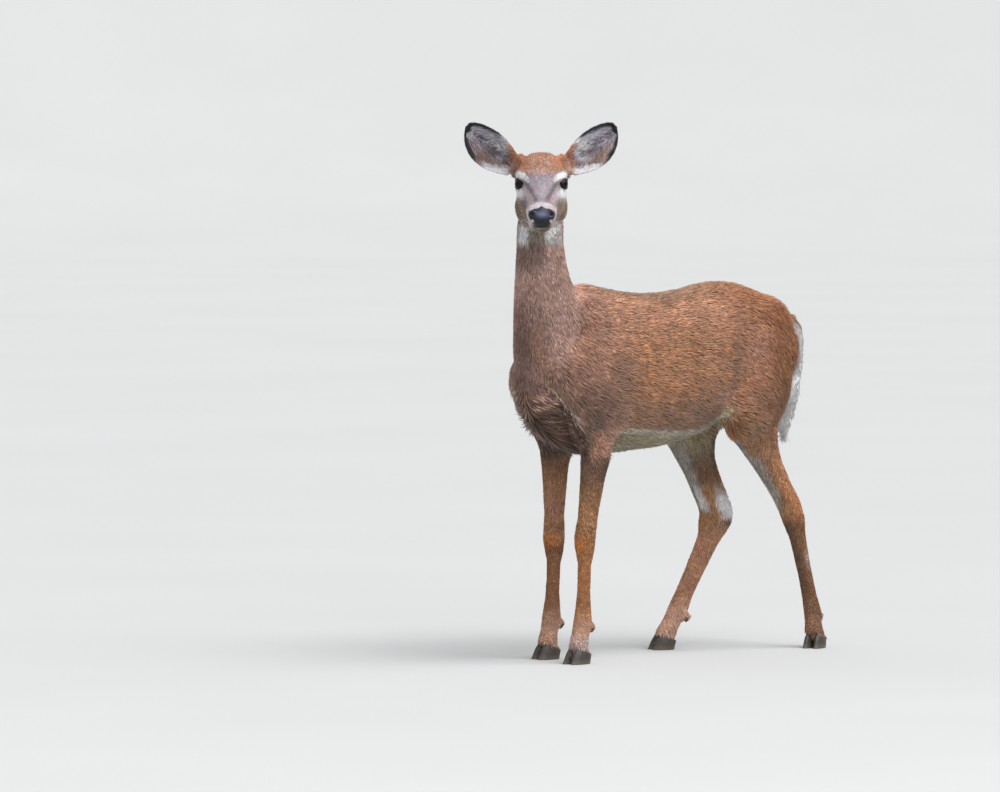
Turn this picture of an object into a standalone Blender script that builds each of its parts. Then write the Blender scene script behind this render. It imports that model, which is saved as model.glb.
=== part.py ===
"""A young white-tailed deer, life size, standing still with its head turned to its left.

The deer faces -Y, its left side is +X and the ground is z = 0. Sizes are in metres and run
out to the tips of the coat. The flesh is lofted from oval sections, fused into one body and
parted into named pieces by thin cuts. The tail, ears, eyes, hooves and dewclaws are their own
pieces. At the end everything is moved so that the origin is the middle of the model's box.
"""

from math import copysign, cos, pi, radians, sin

import bmesh
import bpy
import numpy as np
from mathutils import Matrix, Vector

# ---- Driving sizes -------------------------------------------------------------------------
GAP = 0.0004  # air between two neighbouring pieces
BODY_VOXEL = 0.0045
HEAD_VOXEL = 0.0022
BODY_BLEND = 45  # rounds of smoothing that blend the forms
HEAD_BLEND = 25
BODY_TRIANGLES = 3200
HEAD_TRIANGLES = 1300

EYES = Vector((0.097, -0.392, 0.989))  # midway between the two eyeballs
HEAD_TURN = radians(50)  # to the deer's left
HEAD_NOD = radians(2)  # muzzle down from the pose in which the sections are listed
EYE_RADIUS = 0.0140
EYE_PLACE = Vector((0.0400, 0.0030, 0.0))  # left eyeball from the point between the eyes

# ---- The trunk: sections across it, front to back -------------------------------------------
# y, top, bottom, height of the widest level, half width, upper power, lower power
TRUNK = [
    (-0.364, 0.610, 0.540, 0.570, 0.022, 1.0, 1.0),
    (-0.346, 0.665, 0.502, 0.578, 0.052, 1.0, 1.1),
    (-0.316, 0.712, 0.470, 0.585, 0.072, 1.0, 1.15),
    (-0.270, 0.758, 0.443, 0.590, 0.088, 1.1, 1.1),
    (-0.215, 0.781, 0.426, 0.590, 0.100, 1.2, 1.0),
    (-0.150, 0.770, 0.424, 0.595, 0.106, 1.1, 0.95),
    (-0.080, 0.758, 0.428, 0.600, 0.112, 1.0, 0.9),
    (0.000, 0.754, 0.434, 0.605, 0.117, 0.9, 0.9),
    (0.070, 0.760, 0.448, 0.612, 0.115, 0.9, 0.9),
    (0.130, 0.771, 0.468, 0.625, 0.110, 0.9, 0.9),
    (0.190, 0.773, 0.492, 0.640, 0.104, 0.95, 0.9),
    (0.245, 0.760, 0.514, 0.640, 0.098, 1.0, 0.9),
    (0.298, 0.738, 0.535, 0.630, 0.086, 1.0, 0.9),
    (0.342, 0.706, 0.560, 0.625, 0.064, 1.0, 0.9),
    (0.370, 0.680, 0.595, 0.635, 0.034, 1.0, 1.0),
    (0.381, 0.665, 0.622, 0.643, 0.014, 1.0, 1.0),
]

# ---- The neck: sections across it, bottom to top ---------------------------------------------
# centre x, y, z, turn in degrees, tilt back in degrees, half width, reach forward, reach back
NECK = [
    (0.000, -0.235, 0.600, 0, -35, 0.074, 0.138, 0.090),
    (0.002, -0.275, 0.665, 4, -28, 0.072, 0.110, 0.100),
    (0.010, -0.305, 0.730, 12, -20, 0.063, 0.083, 0.082),
    (0.025, -0.330, 0.795, 24, -14, 0.054, 0.068, 0.068),
    (0.042, -0.349, 0.865, 36, -8, 0.0485, 0.061, 0.061),
    (0.055, -0.358, 0.930, 45, -4, 0.048, 0.058, 0.060),
    (0.060, -0.360, 0.975, 50, 0, 0.046, 0.048, 0.054),
]

# ---- The head, in its own frame: it faces -y, and its origin lies between the eyes ------------
# forward, top, bottom, level of the widest point, half width, upper power, lower power
SKULL = [
    (-0.112, 0.028, -0.020, 0.008, 0.016, 1.0, 1.0),
    (-0.098, 0.047, -0.045, 0.005, 0.036, 0.9, 1.0),
    (-0.072, 0.060, -0.066, 0.002, 0.047, 0.75, 0.9),
    (-0.040, 0.060, -0.080, -0.004, 0.0515, 0.70, 0.8),
    (-0.012, 0.051, -0.086, -0.010, 0.0510, 0.70, 0.75),
    (0.015, 0.037, -0.087, -0.018, 0.0475, 0.75, 0.75),
    (0.042, 0.021, -0.086, -0.028, 0.0415, 0.80, 0.75),
    (0.070, 0.005, -0.085, -0.036, 0.0355, 0.80, 0.70),
    (0.098, -0.010, -0.083, -0.044, 0.0325, 0.80, 0.70),
    (0.122, -0.021, -0.082, -0.050, 0.0315, 0.80, 0.70),
    (0.140, -0.031, -0.080, -0.053, 0.0295, 0.85, 0.75),
    (0.152, -0.042, -0.074, -0.056, 0.0225, 0.90, 0.85),
    (0.157, -0.050, -0.066, -0.058, 0.0130, 1.0, 1.0),
]
# Rounded masses on the head: left x, forward, up, then the three half lengths
BROAD_MASSES = [
    (0.041, -0.012, 0.020, 0.0140, 0.0260, 0.0110),  # brow ridge over the eye
    (0.046, -0.024, -0.004, 0.0090, 0.0180, 0.0160),  # rear rim of the orbit
    (0.036, 0.016, -0.020, 0.0140, 0.0240, 0.0130),  # cheekbone under the eye
    (0.036, -0.035, -0.050, 0.0185, 0.0360, 0.0320),  # jaw muscle
    (0.046, -0.068, 0.026, 0.0190, 0.0200, 0.0240),  # root of the ear
    (0.000, 0.118, -0.080, 0.0190, 0.0260, 0.0120),  # chin
]
FINE_MASSES = [
    (0.041, -0.044, 0.048, 0.0095, 0.0105, 0.0110),  # velvet button of a young buck
    (0.0205, 0.144, -0.052, 0.0085, 0.0120, 0.0130),  # wing of the nostril
]

# ---- The ears: a leaf rolled round its length -------------------------------------------------
# share of the length, half width, shift of the middle to the lower edge, half angle of the roll
EAR_LENGTH = 0.133
EAR_THICK = 0.0042
EAR_BOW = 0.010  # the leaf arches back between its root and its tip
EAR_ROOT = Vector((0.052, 0.060, 0.029))
EAR_AXIS = Vector((0.099, 0.012, 0.088))
EAR_HOLLOW = Vector((0.10, -1.0, 0.05))  # the way its hollow faces
EAR_ROLL = [
    (0.00, 0.0200, 0.000, 115),
    (0.12, 0.0255, 0.003, 105),
    (0.25, 0.0320, 0.006, 85),
    (0.40, 0.0375, 0.0085, 66),
    (0.55, 0.0390, 0.0095, 54),
    (0.70, 0.0355, 0.0095, 44),
    (0.83, 0.0285, 0.0080, 33),
    (0.93, 0.0185, 0.0050, 22),
    (1.00, 0.0060, 0.0020, 10),
]

# ---- The legs: joints, then sections along each bone -------------------------------------------
FORE_JOINTS = {
    1: [(0.066, -0.305, 0.600), (0.074, -0.222, 0.452), (0.070, -0.252, 0.252),
        (0.068, -0.257, 0.090), (0.068, -0.270, 0.020)],
    -1: [(-0.066, -0.290, 0.600), (-0.074, -0.208, 0.452), (-0.065, -0.220, 0.246),
         (-0.063, -0.230, 0.088), (-0.062, -0.243, 0.020)],
}
FORE_TOES_OUT = {1: 4, -1: 4}
# bone from 0 at the shoulder, share along it, half width, reach forward, reach back
FORE_SECTIONS = [
    (0, 0.00, 0.026, 0.036, 0.050),
    (0, 0.50, 0.036, 0.048, 0.072),
    (0, 0.90, 0.034, 0.044, 0.056),
    (1, 0.12, 0.0285, 0.036, 0.038),
    (1, 0.30, 0.0240, 0.031, 0.030),
    (1, 0.55, 0.0205, 0.0265, 0.0250),
    (1, 0.78, 0.0195, 0.0240, 0.0230),
    (1, 0.97, 0.0215, 0.0260, 0.0235),
    (2, 0.14, 0.0180, 0.0200, 0.0220),
    (2, 0.30, 0.0135, 0.0150, 0.0180),
    (2, 0.60, 0.0130, 0.0140, 0.0170),
    (2, 0.85, 0.0155, 0.0160, 0.0200),
    (3, 0.05, 0.0185, 0.0195, 0.0230),
    (3, 0.40, 0.0180, 0.0185, 0.0205),
    (3, 0.75, 0.0205, 0.0215, 0.0205),
    (3, 1.00, 0.0220, 0.0230, 0.0210),
]
HIND_JOINTS = {
    1: [(0.048, 0.235, 0.640), (0.072, 0.190, 0.478), (0.070, 0.318, 0.286),
        (0.078, 0.369, 0.080), (0.090, 0.366, 0.020)],
    -1: [(-0.048, 0.215, 0.640), (-0.072, 0.132, 0.478), (-0.052, 0.214, 0.280),
         (-0.074, 0.125, 0.083), (-0.085, 0.095, 0.020)],
}
HIND_TOES_OUT = {1: 24, -1: 18}
# bone from 0 at the hip, share along it, half width, reach forward, reach back
HIND_SECTIONS = [
    (0, 0.00, 0.036, 0.080, 0.080),
    (0, 0.40, 0.046, 0.088, 0.098),
    (0, 0.75, 0.047, 0.080, 0.102),
    (1, 0.02, 0.044, 0.062, 0.100),
    (1, 0.15, 0.0390, 0.051, 0.080),
    (1, 0.31, 0.0325, 0.042, 0.058),
    (1, 0.50, 0.0270, 0.035, 0.044),
    (1, 0.74, 0.0220, 0.034, 0.042),
    (1, 0.95, 0.0215, 0.036, 0.044),
    (2, 0.10, 0.0200, 0.0310, 0.0420),
    (2, 0.26, 0.0160, 0.0200, 0.0320),
    (2, 0.55, 0.0138, 0.0185, 0.0255),
    (2, 0.83, 0.0150, 0.0185, 0.0220),
    (3, 0.05, 0.0185, 0.0200, 0.0240),
    (3, 0.40, 0.0180, 0.0190, 0.0210),
    (3, 0.75, 0.0205, 0.0215, 0.0205),
    (3, 1.00, 0.0220, 0.0230, 0.0210),
]

# ---- Muscles on the trunk: left x, y, z, half lengths, forward lean in degrees -----------------
MUSCLES = [
    ((0.052, -0.212, 0.655), (0.042, 0.062, 0.112), 18),  # shoulder blade
    ((0.062, -0.278, 0.570), (0.036, 0.060, 0.075), 25),  # point of the shoulder
    ((0.068, -0.190, 0.525), (0.036, 0.062, 0.078), -25),  # back of the upper arm
    ((0.050, 0.225, 0.660), (0.048, 0.110, 0.085), 20),  # hip
    ((0.054, 0.225, 0.565), (0.050, 0.100, 0.100), -10),  # thigh
    ((0.034, 0.272, 0.550), (0.036, 0.068, 0.105), -8),  # buttock
]

# ---- Feet -----------------------------------------------------------------------------------
CORONET = 0.033  # height of the hooves' upper rim at the middle of the foot
CORONET_SLOPE = radians(14)  # it falls towards the heel
CLAW_LENGTH = {"fore": 0.054, "hind": 0.051}
CLAW_WIDTH = 0.0210
CLEFT = 0.0030
DEWCLAW_DROP = 0.016  # below the fetlock
DEWCLAW_SIZE = (0.0060, 0.0072, 0.0115)

# ---- The tail: centre y, z, half width, half thickness ------------------------------------------
TAIL = [
    (0.352, 0.700, 0.020, 0.020),
    (0.371, 0.680, 0.026, 0.021),
    (0.379, 0.650, 0.031, 0.022),
    (0.375, 0.600, 0.036, 0.020),
    (0.368, 0.550, 0.036, 0.018),
    (0.362, 0.505, 0.031, 0.016),
    (0.358, 0.470, 0.020, 0.013),
    (0.358, 0.450, 0.010, 0.008),
    (0.358, 0.443, 0.003, 0.003),
]

# ---- Finishes: linear colour and roughness ---------------------------------------------------
FINISHES = {
    "trunk": ((0.42, 0.22, 0.12), 0.85),
    "neck": ((0.40, 0.25, 0.17), 0.85),
    "head": ((0.40, 0.25, 0.16), 0.85),
    "ear": ((0.33, 0.22, 0.16), 0.85),
    "tail": ((0.55, 0.36, 0.24), 0.85),
    "foreleg": ((0.36, 0.20, 0.12), 0.85),
    "hindleg": ((0.38, 0.21, 0.12), 0.85),
    "hoof": ((0.04, 0.035, 0.03), 0.40),
    "dewclaw": ((0.05, 0.04, 0.035), 0.40),
    "eye": ((0.02, 0.012, 0.01), 0.06),
}


# ---- Tools ------------------------------------------------------------------------------------
def clear_scene():
    for thing in list(bpy.data.objects):
        bpy.data.objects.remove(thing, do_unlink=True)


def collection(name, hidden=False):
    made = bpy.data.collections.new(name)
    made.hide_render = hidden
    bpy.context.scene.collection.children.link(made)
    return made


def finish_of(kind):
    """The Principled material for a kind of piece."""
    name = f"{kind}_finish"
    found = bpy.data.materials.get(name)
    if found:
        return found
    made = bpy.data.materials.new(name)
    made.use_nodes = True
    shader = made.node_tree.nodes["Principled BSDF"]
    colour, roughness = FINISHES[kind]
    shader.inputs["Base Color"].default_value = (*colour, 1.0)
    shader.inputs["Roughness"].default_value = roughness
    shader.inputs["Metallic"].default_value = 0.0
    return made


def new_object(name, bm, where):
    """An object of the mesh in bm, in the collection where."""
    mesh = bpy.data.meshes.new(name)
    bm.to_mesh(mesh)
    bm.free()
    made = bpy.data.objects.new(name, mesh)
    where.objects.link(made)
    return made


def smooth_rows(rows, per_gap):
    """Rows of numbers with per_gap steps between each two, on Catmull-Rom curves."""
    rows = np.array(rows, float)
    ends = np.vstack([2 * rows[0] - rows[1], rows, 2 * rows[-1] - rows[-2]])
    out = []
    for k in range(1, len(ends) - 2):
        before, here, after, later = ends[k - 1 : k + 3]
        for step in range(per_gap):
            t = step / per_gap
            out.append(
                0.5 * (2 * here + (after - before) * t
                       + (2 * before - 5 * here + 4 * after - later) * t**2
                       + (3 * here - 3 * after + later - before) * t**3)
            )
    out.append(ends[-2])
    return np.array(out)


def loft(name, sections, where, per_gap=3, sides=28):
    """A closed body through oval sections: centre, side and front directions, half width,
    reach to the front and to the back, and the power of each half."""
    bm = bmesh.new()
    rings = []
    for row in smooth_rows(sections, per_gap):
        centre, side, front = (Vector(row[k : k + 3]) for k in (0, 3, 6))
        side.normalize()
        front.normalize()
        width, ahead, behind, front_power, back_power = row[9:14]
        ring = []
        for k in range(sides):
            angle = 2 * pi * k / sides
            reach, power = (ahead, front_power) if cos(angle) >= 0 else (behind, back_power)
            across = width * copysign(abs(sin(angle)) ** power, sin(angle))
            ring.append(bm.verts.new(centre + side * across + front * (reach * cos(angle))))
        rings.append(ring)
    for low, high in zip(rings, rings[1:]):
        for k in range(sides):
            n = (k + 1) % sides
            bm.faces.new((low[k], low[n], high[n], high[k]))
    bm.faces.new(rings[0])
    bm.faces.new(rings[-1])
    bmesh.ops.recalc_face_normals(bm, faces=bm.faces)
    return new_object(name, bm, where)


def ball(name, place, where, segments=20, rings=14):
    """A ball of radius 1 put in place by the matrix."""
    bm = bmesh.new()
    bmesh.ops.create_uvsphere(bm, u_segments=segments, v_segments=rings, radius=1.0, matrix=place)
    bmesh.ops.recalc_face_normals(bm, faces=bm.faces)
    return new_object(name, bm, where)


def box_at(name, low, high, where, turn=None):
    """A box between two corners, turned by the matrix turn."""
    bm = bmesh.new()
    middle = (Vector(low) + Vector(high)) / 2
    size = Vector(high) - Vector(low)
    bmesh.ops.create_cube(bm, size=1.0, matrix=Matrix.Translation(middle) @ Matrix.Diagonal((*size, 1)))
    if turn:
        bmesh.ops.transform(bm, matrix=turn, verts=bm.verts)
    made = new_object(name, bm, where)
    made.hide_render = True
    made.display_type = "WIRE"
    return made


def settle(obj):
    """Replaces the object's mesh by what its modifiers make of it."""
    bpy.context.view_layer.update()
    graph = bpy.context.evaluated_depsgraph_get()
    made = bpy.data.meshes.new_from_object(obj.evaluated_get(graph))
    obj.modifiers.clear()
    obj.data = made
    return obj


def fuse(name, pieces, voxel, soften, triangles, where):
    """One closed body round all the pieces, smoothed and then thinned out to few triangles."""
    bm = bmesh.new()
    for piece in pieces:
        bm.from_mesh(piece.data)
        bpy.data.objects.remove(piece, do_unlink=True)
    made = new_object(name, bm, where)
    remesh = made.modifiers.new("remesh", "REMESH")
    remesh.mode = "VOXEL"
    remesh.voxel_size = voxel
    settle(made)
    smooth = made.modifiers.new("smooth", "SMOOTH")
    smooth.factor = 0.5
    smooth.iterations = soften
    settle(made)
    if triangles:
        faces = sum(len(face.vertices) - 2 for face in made.data.polygons)
        thin = made.modifiers.new("thin", "DECIMATE")
        thin.ratio = triangles / faces
        settle(made)
    return made


def boolean(obj, other, operation):
    """The object cut by, kept within, or joined with the other one."""
    cut = obj.modifiers.new(operation, "BOOLEAN")
    cut.operation = operation
    cut.object = other
    return settle(obj)


def swollen(obj, by, where):
    """A cutter: the object with its surface moved out by a distance."""
    bm = bmesh.new()
    bm.from_mesh(obj.data)
    bmesh.ops.triangulate(bm, faces=bm.faces)
    bm.to_mesh(obj.data)  # both then bend along the same edges
    bm.normal_update()
    moves = [(v, v.normal * by) for v in bm.verts]
    for vertex, move in moves:
        vertex.co += move
    made = new_object(obj.name + "_cutter", bm, where)
    made.hide_render = True
    return made


# ---- The body's pieces ---------------------------------------------------------------------------
def upright_section(x, y, z, turn, tilt, width, ahead, behind, powers=(1.0, 1.0)):
    """A section of a neck or leg: its front points to -y, turned left and tilted up by angles."""
    turn, tilt = radians(turn), radians(tilt)
    side = (cos(turn), sin(turn), 0.0)
    front = (sin(turn) * cos(tilt), -cos(turn) * cos(tilt), sin(tilt))
    return (x, y, z, *side, *front, width, ahead, behind, *powers)


def across_section(y, top, bottom, widest, width, up_power, down_power):
    """An upright section across the trunk or the head."""
    return (0, y, widest, 1, 0, 0, 0, 0, 1, width, top - widest, widest - bottom, up_power, down_power)


def trunk_pieces(where):
    pieces = [loft("trunk_form", [across_section(*row) for row in TRUNK], where, sides=36)]
    for (x, y, z), size, lean in MUSCLES:
        for side in (1, -1):
            place = (Matrix.Translation((side * x, y, z)) @ Matrix.Rotation(radians(lean), 4, "X")
                     @ Matrix.Diagonal((*size, 1)))
            pieces.append(ball("muscle", place, where, 28, 18))
    return pieces


def neck_form(where):
    return loft("neck_form", [upright_section(*row) for row in NECK], where, sides=32)


def head_place():
    """Puts the head's own frame, whose origin lies between the eyes, in the body's."""
    return (Matrix.Translation(EYES) @ Matrix.Rotation(HEAD_TURN, 4, "Z")
            @ Matrix.Rotation(HEAD_NOD, 4, "X"))


def masses(table, where):
    """The rounded masses of a table, on both sides of the head and in place."""
    made = []
    for left, ahead, up, *size in table:
        for side in (1, -1) if left else (1,):
            local = Matrix.Translation((side * left, -ahead, up)) @ Matrix.Diagonal((*size, 1))
            made.append(ball("mass", head_place() @ local, where))
    return made


def skull_pieces(where):
    """The head's broad forms in place, with the neck that carries it."""
    skull = loft("skull_form", [across_section(-row[0], *row[1:]) for row in SKULL], where, sides=36)
    skull.data.transform(head_place())
    return [skull, neck_form(where)] + masses(BROAD_MASSES, where)


def ear(side, where):
    """One ear: a rolled leaf with its hollow to the front, as a shell."""
    along = EAR_AXIS.normalized()
    hollow = (EAR_HOLLOW - EAR_HOLLOW.dot(along) * along).normalized()
    lower = along.cross(hollow)
    bm = bmesh.new()
    rows, steps = [], 10
    for share, half, shift, angle in EAR_ROLL:
        radius = half / sin(radians(min(angle, 90)))
        spine = EAR_ROOT + along * (EAR_LENGTH * share) + lower * shift
        spine -= hollow * (EAR_BOW * sin(pi * share))
        row = []
        for k in range(steps + 1):
            turn = radians(angle) * (2 * k / steps - 1)
            point = spine + lower * (radius * sin(turn)) - hollow * (radius * (cos(turn) - 0.55))
            row.append(bm.verts.new((side * point.x, point.y, point.z)))
        rows.append(row)
    for low, high in zip(rows, rows[1:]):
        for k in range(steps):
            bm.faces.new((low[k], low[k + 1], high[k + 1], high[k]))
    bmesh.ops.recalc_face_normals(bm, faces=bm.faces)
    bmesh.ops.transform(bm, matrix=head_place(), verts=bm.verts)
    made = new_object("ear_left" if side > 0 else "ear_right", bm, where)
    shell = made.modifiers.new("shell", "SOLIDIFY")
    shell.thickness = EAR_THICK
    shell.offset = 0.0
    shell.use_even_offset = True
    return settle(made)


def joint_direction(joints, bone):
    return (Vector(joints[bone + 1]) - Vector(joints[bone])).normalized()


def leg_form(name, joints, toes_out, sections, side, where):
    """A leg through its joints: each section lies across its bone."""
    rows = []
    for bone, share, width, ahead, behind in sections:
        a, b = Vector(joints[bone]), Vector(joints[bone + 1])
        centre = a.lerp(b, share)
        turn = radians(toes_out) * side * min(1.0, (bone + share) / 2)
        side_way = Vector((cos(turn), sin(turn), 0))
        front = Vector((sin(turn), -cos(turn), 0))
        along = leg_slope(joints, bone + share)
        front = (front - front.dot(along) * along).normalized()
        rows.append((*centre, *side_way, *front, width, ahead, behind, 1.0, 1.0))
    return loft(name, rows, where, sides=24)


def leg_slope(joints, at):
    """The leg's direction at a place counted in bones, turning smoothly at each joint."""
    last = len(joints) - 2
    bone = min(int(at), last)
    share = at - bone
    here = joint_direction(joints, bone)
    if share < 0.5 and bone > 0:
        other, weight = joint_direction(joints, bone - 1), 0.5 - share
    elif share > 0.5 and bone < last:
        other, weight = joint_direction(joints, bone + 1), share - 0.5
    else:
        return here
    return here.lerp(other, weight).normalized()


def tail_form(where):
    rows = [upright_section(0, y, z, 0, 0, width, thick, thick) for y, z, width, thick in TAIL]
    return loft("tail", rows, where, per_gap=1, sides=14)


def foot_frame(joints, toes_out, side):
    """The foot's own frame on the ground: -y towards the toes."""
    toe = Vector(joints[-1])
    return Matrix.Translation((toe.x, toe.y, 0)) @ Matrix.Rotation(radians(toes_out) * side, 4, "Z")


def coronet_box(frame, above, where):
    """A box whose sloping face is the top of the hooves, on its upper or its lower side."""
    rim = Matrix.Translation((0, 0, CORONET)) @ Matrix.Rotation(CORONET_SLOPE * -1, 4, "X")
    low, high = (-GAP / 2, 0.10) if above else (-0.10, GAP / 2)
    return box_at("rim", (-0.09, -0.10, low), (0.09, 0.10, high), where, frame @ rim)


def hoof_claw(name, frame, outer, length, shown, helpers):
    """One claw of a cloven hoof: flat sole, straight inner wall, rounded outer wall, pointed toe."""
    half = CLAW_WIDTH / 2
    levels = [(0.0, 1.0, 1.0), (0.012, 0.96, 0.95), (0.026, 0.90, 0.88), (0.055, 0.80, 0.72)]
    rows = []
    for height, wide, long in levels:
        centre = Vector((outer * (CLEFT / 2 + half * wide), -0.004 + height * 0.35, height))
        side, front = Vector((outer, 0, 0)), Vector((0, -1, 0))
        rows.append((*(frame @ centre), *(frame.to_3x3() @ side), *(frame.to_3x3() @ front),
                     half * wide, length / 2 * long, length / 2 * long, 1.35, 0.9))
    claw = loft(name, rows, shown, per_gap=1, sides=12)
    rim = coronet_box(frame, True, helpers)
    boolean(claw, rim, "DIFFERENCE")
    bpy.data.objects.remove(rim, do_unlink=True)
    return claw


def dewclaw(name, joints, toes_out, side, outer, where):
    """One of the two small claws behind the pastern."""
    turn = radians(toes_out) * side
    back = Vector((-sin(turn), cos(turn), 0))
    left = Vector((cos(turn), sin(turn), 0))
    centre = Vector(joints[3]) + back * 0.0190 + left * (0.0098 * outer) + Vector((0, 0, -DEWCLAW_DROP))
    place = (Matrix.Translation(centre) @ Matrix.Rotation(turn, 4, "Z")
             @ Matrix.Rotation(radians(-28), 4, "X") @ Matrix.Diagonal((*DEWCLAW_SIZE, 1)))
    return ball(name, place, where, 8, 6)


# ---- Parting ----------------------------------------------------------------------------------------
def plane_box(centre, turn, tilt, helpers, left=0.6, right=0.6, rear=0.6):
    """A box under a plane through centre, whose height rises to the rear by the angle tilt."""
    place = (Matrix.Translation(centre) @ Matrix.Rotation(radians(turn), 4, "Z")
             @ Matrix.Rotation(radians(tilt), 4, "X"))
    return box_at("below", (-right, -0.6, -1.2), (left, rear, 0.0), helpers, place)


def part_under(body, name, below, shown, helpers):
    """Parts the body's share inside the box out as its own object, with a thin gap between."""
    piece = bpy.data.objects.new(name, body.data.copy())
    shown.objects.link(piece)
    boolean(piece, below, "INTERSECT")
    keep_largest(piece)
    wider = swollen(below, GAP, helpers)
    boolean(body, wider, "DIFFERENCE")
    keep_largest(body)
    for helper in (below, wider):
        bpy.data.objects.remove(helper, do_unlink=True)
    return piece


def keep_largest(obj):
    """Leaves only the object's largest closed piece."""
    bm = bmesh.new()
    bm.from_mesh(obj.data)
    left, parts = set(bm.verts), []
    while left:
        group, edge = set(), [left.pop()]
        while edge:
            vertex = edge.pop()
            group.add(vertex)
            for link in vertex.link_edges:
                other = link.other_vert(vertex)
                if other in left:
                    left.discard(other)
                    edge.append(other)
        parts.append(group)
    parts.sort(key=len)
    for group in parts[:-1]:
        bmesh.ops.delete(bm, geom=list(group), context="VERTS")
    bm.to_mesh(obj.data)
    bm.free()


def make_room(body, piece, helpers):
    """Cuts a seat with a thin gap round the piece into the body."""
    seat = swollen(piece, GAP, helpers)
    boolean(body, seat, "DIFFERENCE")
    bpy.data.objects.remove(seat, do_unlink=True)
    keep_largest(body)


def finish_piece(obj, kind):
    obj.data.materials.clear()
    obj.data.materials.append(finish_of(kind))
    obj.data.shade_smooth()
    obj.data.set_sharp_from_angle(angle=radians(50))


def centre_on_ground(objects):
    """Moves all pieces so that the origin is the middle of the model's box, on the ground."""
    points = np.array([corner for obj in objects for corner in obj.bound_box])
    low, high = points.min(axis=0), points.max(axis=0)
    shift = Matrix.Translation((-(low[0] + high[0]) / 2, -(low[1] + high[1]) / 2, -low[2]))
    for obj in objects:
        obj.data.transform(shift)


# ---- The whole deer ------------------------------------------------------------------------------------
LEFT_RIGHT = {1: "left", -1: "right"}


def leg_forms(shown):
    forms = []
    for side in (1, -1):
        forms.append(leg_form("fore", FORE_JOINTS[side], FORE_TOES_OUT[side], FORE_SECTIONS, side, shown))
        forms.append(leg_form("hind", HIND_JOINTS[side], HIND_TOES_OUT[side], HIND_SECTIONS, side, shown))
    return forms


def fused_body(shown):
    """Trunk, neck and legs as one body. The first round blends them widely, which thins the
    legs, so they are put in again at their full girth for the second."""
    soft = fuse("soft", trunk_pieces(shown) + [neck_form(shown)] + leg_forms(shown),
                BODY_VOXEL, BODY_BLEND, None, shown)
    return fuse("trunk", [soft] + leg_forms(shown), BODY_VOXEL, 6, BODY_TRIANGLES, shown)


def fused_head(shown):
    """Skull, muzzle and jaw blended widely, then the small forms on them."""
    soft = fuse("soft", skull_pieces(shown), HEAD_VOXEL, HEAD_BLEND, None, shown)
    return fuse("head", [soft] + masses(FINE_MASSES, shown), HEAD_VOXEL, 4, HEAD_TRIANGLES, shown)


def feet(kind, joints, toes_out, lower_legs, shown, helpers):
    """Hooves and dewclaws of the two fore or hind legs, with seats for them in the legs."""
    made = []
    for side, lower in lower_legs.items():
        name = f"{kind}leg_{LEFT_RIGHT[side]}"
        frame = foot_frame(joints[side], toes_out[side], side)
        rim = coronet_box(frame, False, helpers)
        boolean(lower, rim, "DIFFERENCE")
        keep_largest(lower)
        bpy.data.objects.remove(rim, do_unlink=True)
        for outer, word in ((side, "outer"), (-side, "inner")):
            claw = hoof_claw(f"hoof_{name}_{word}", frame, outer, CLAW_LENGTH[kind], shown, helpers)
            finish_piece(claw, "hoof")
            spur = dewclaw(f"dewclaw_{name}_{word}", joints[side], toes_out[side], side, outer, shown)
            make_room(lower, spur, helpers)
            finish_piece(spur, "dewclaw")
            made += [claw, spur]
    return made


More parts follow.
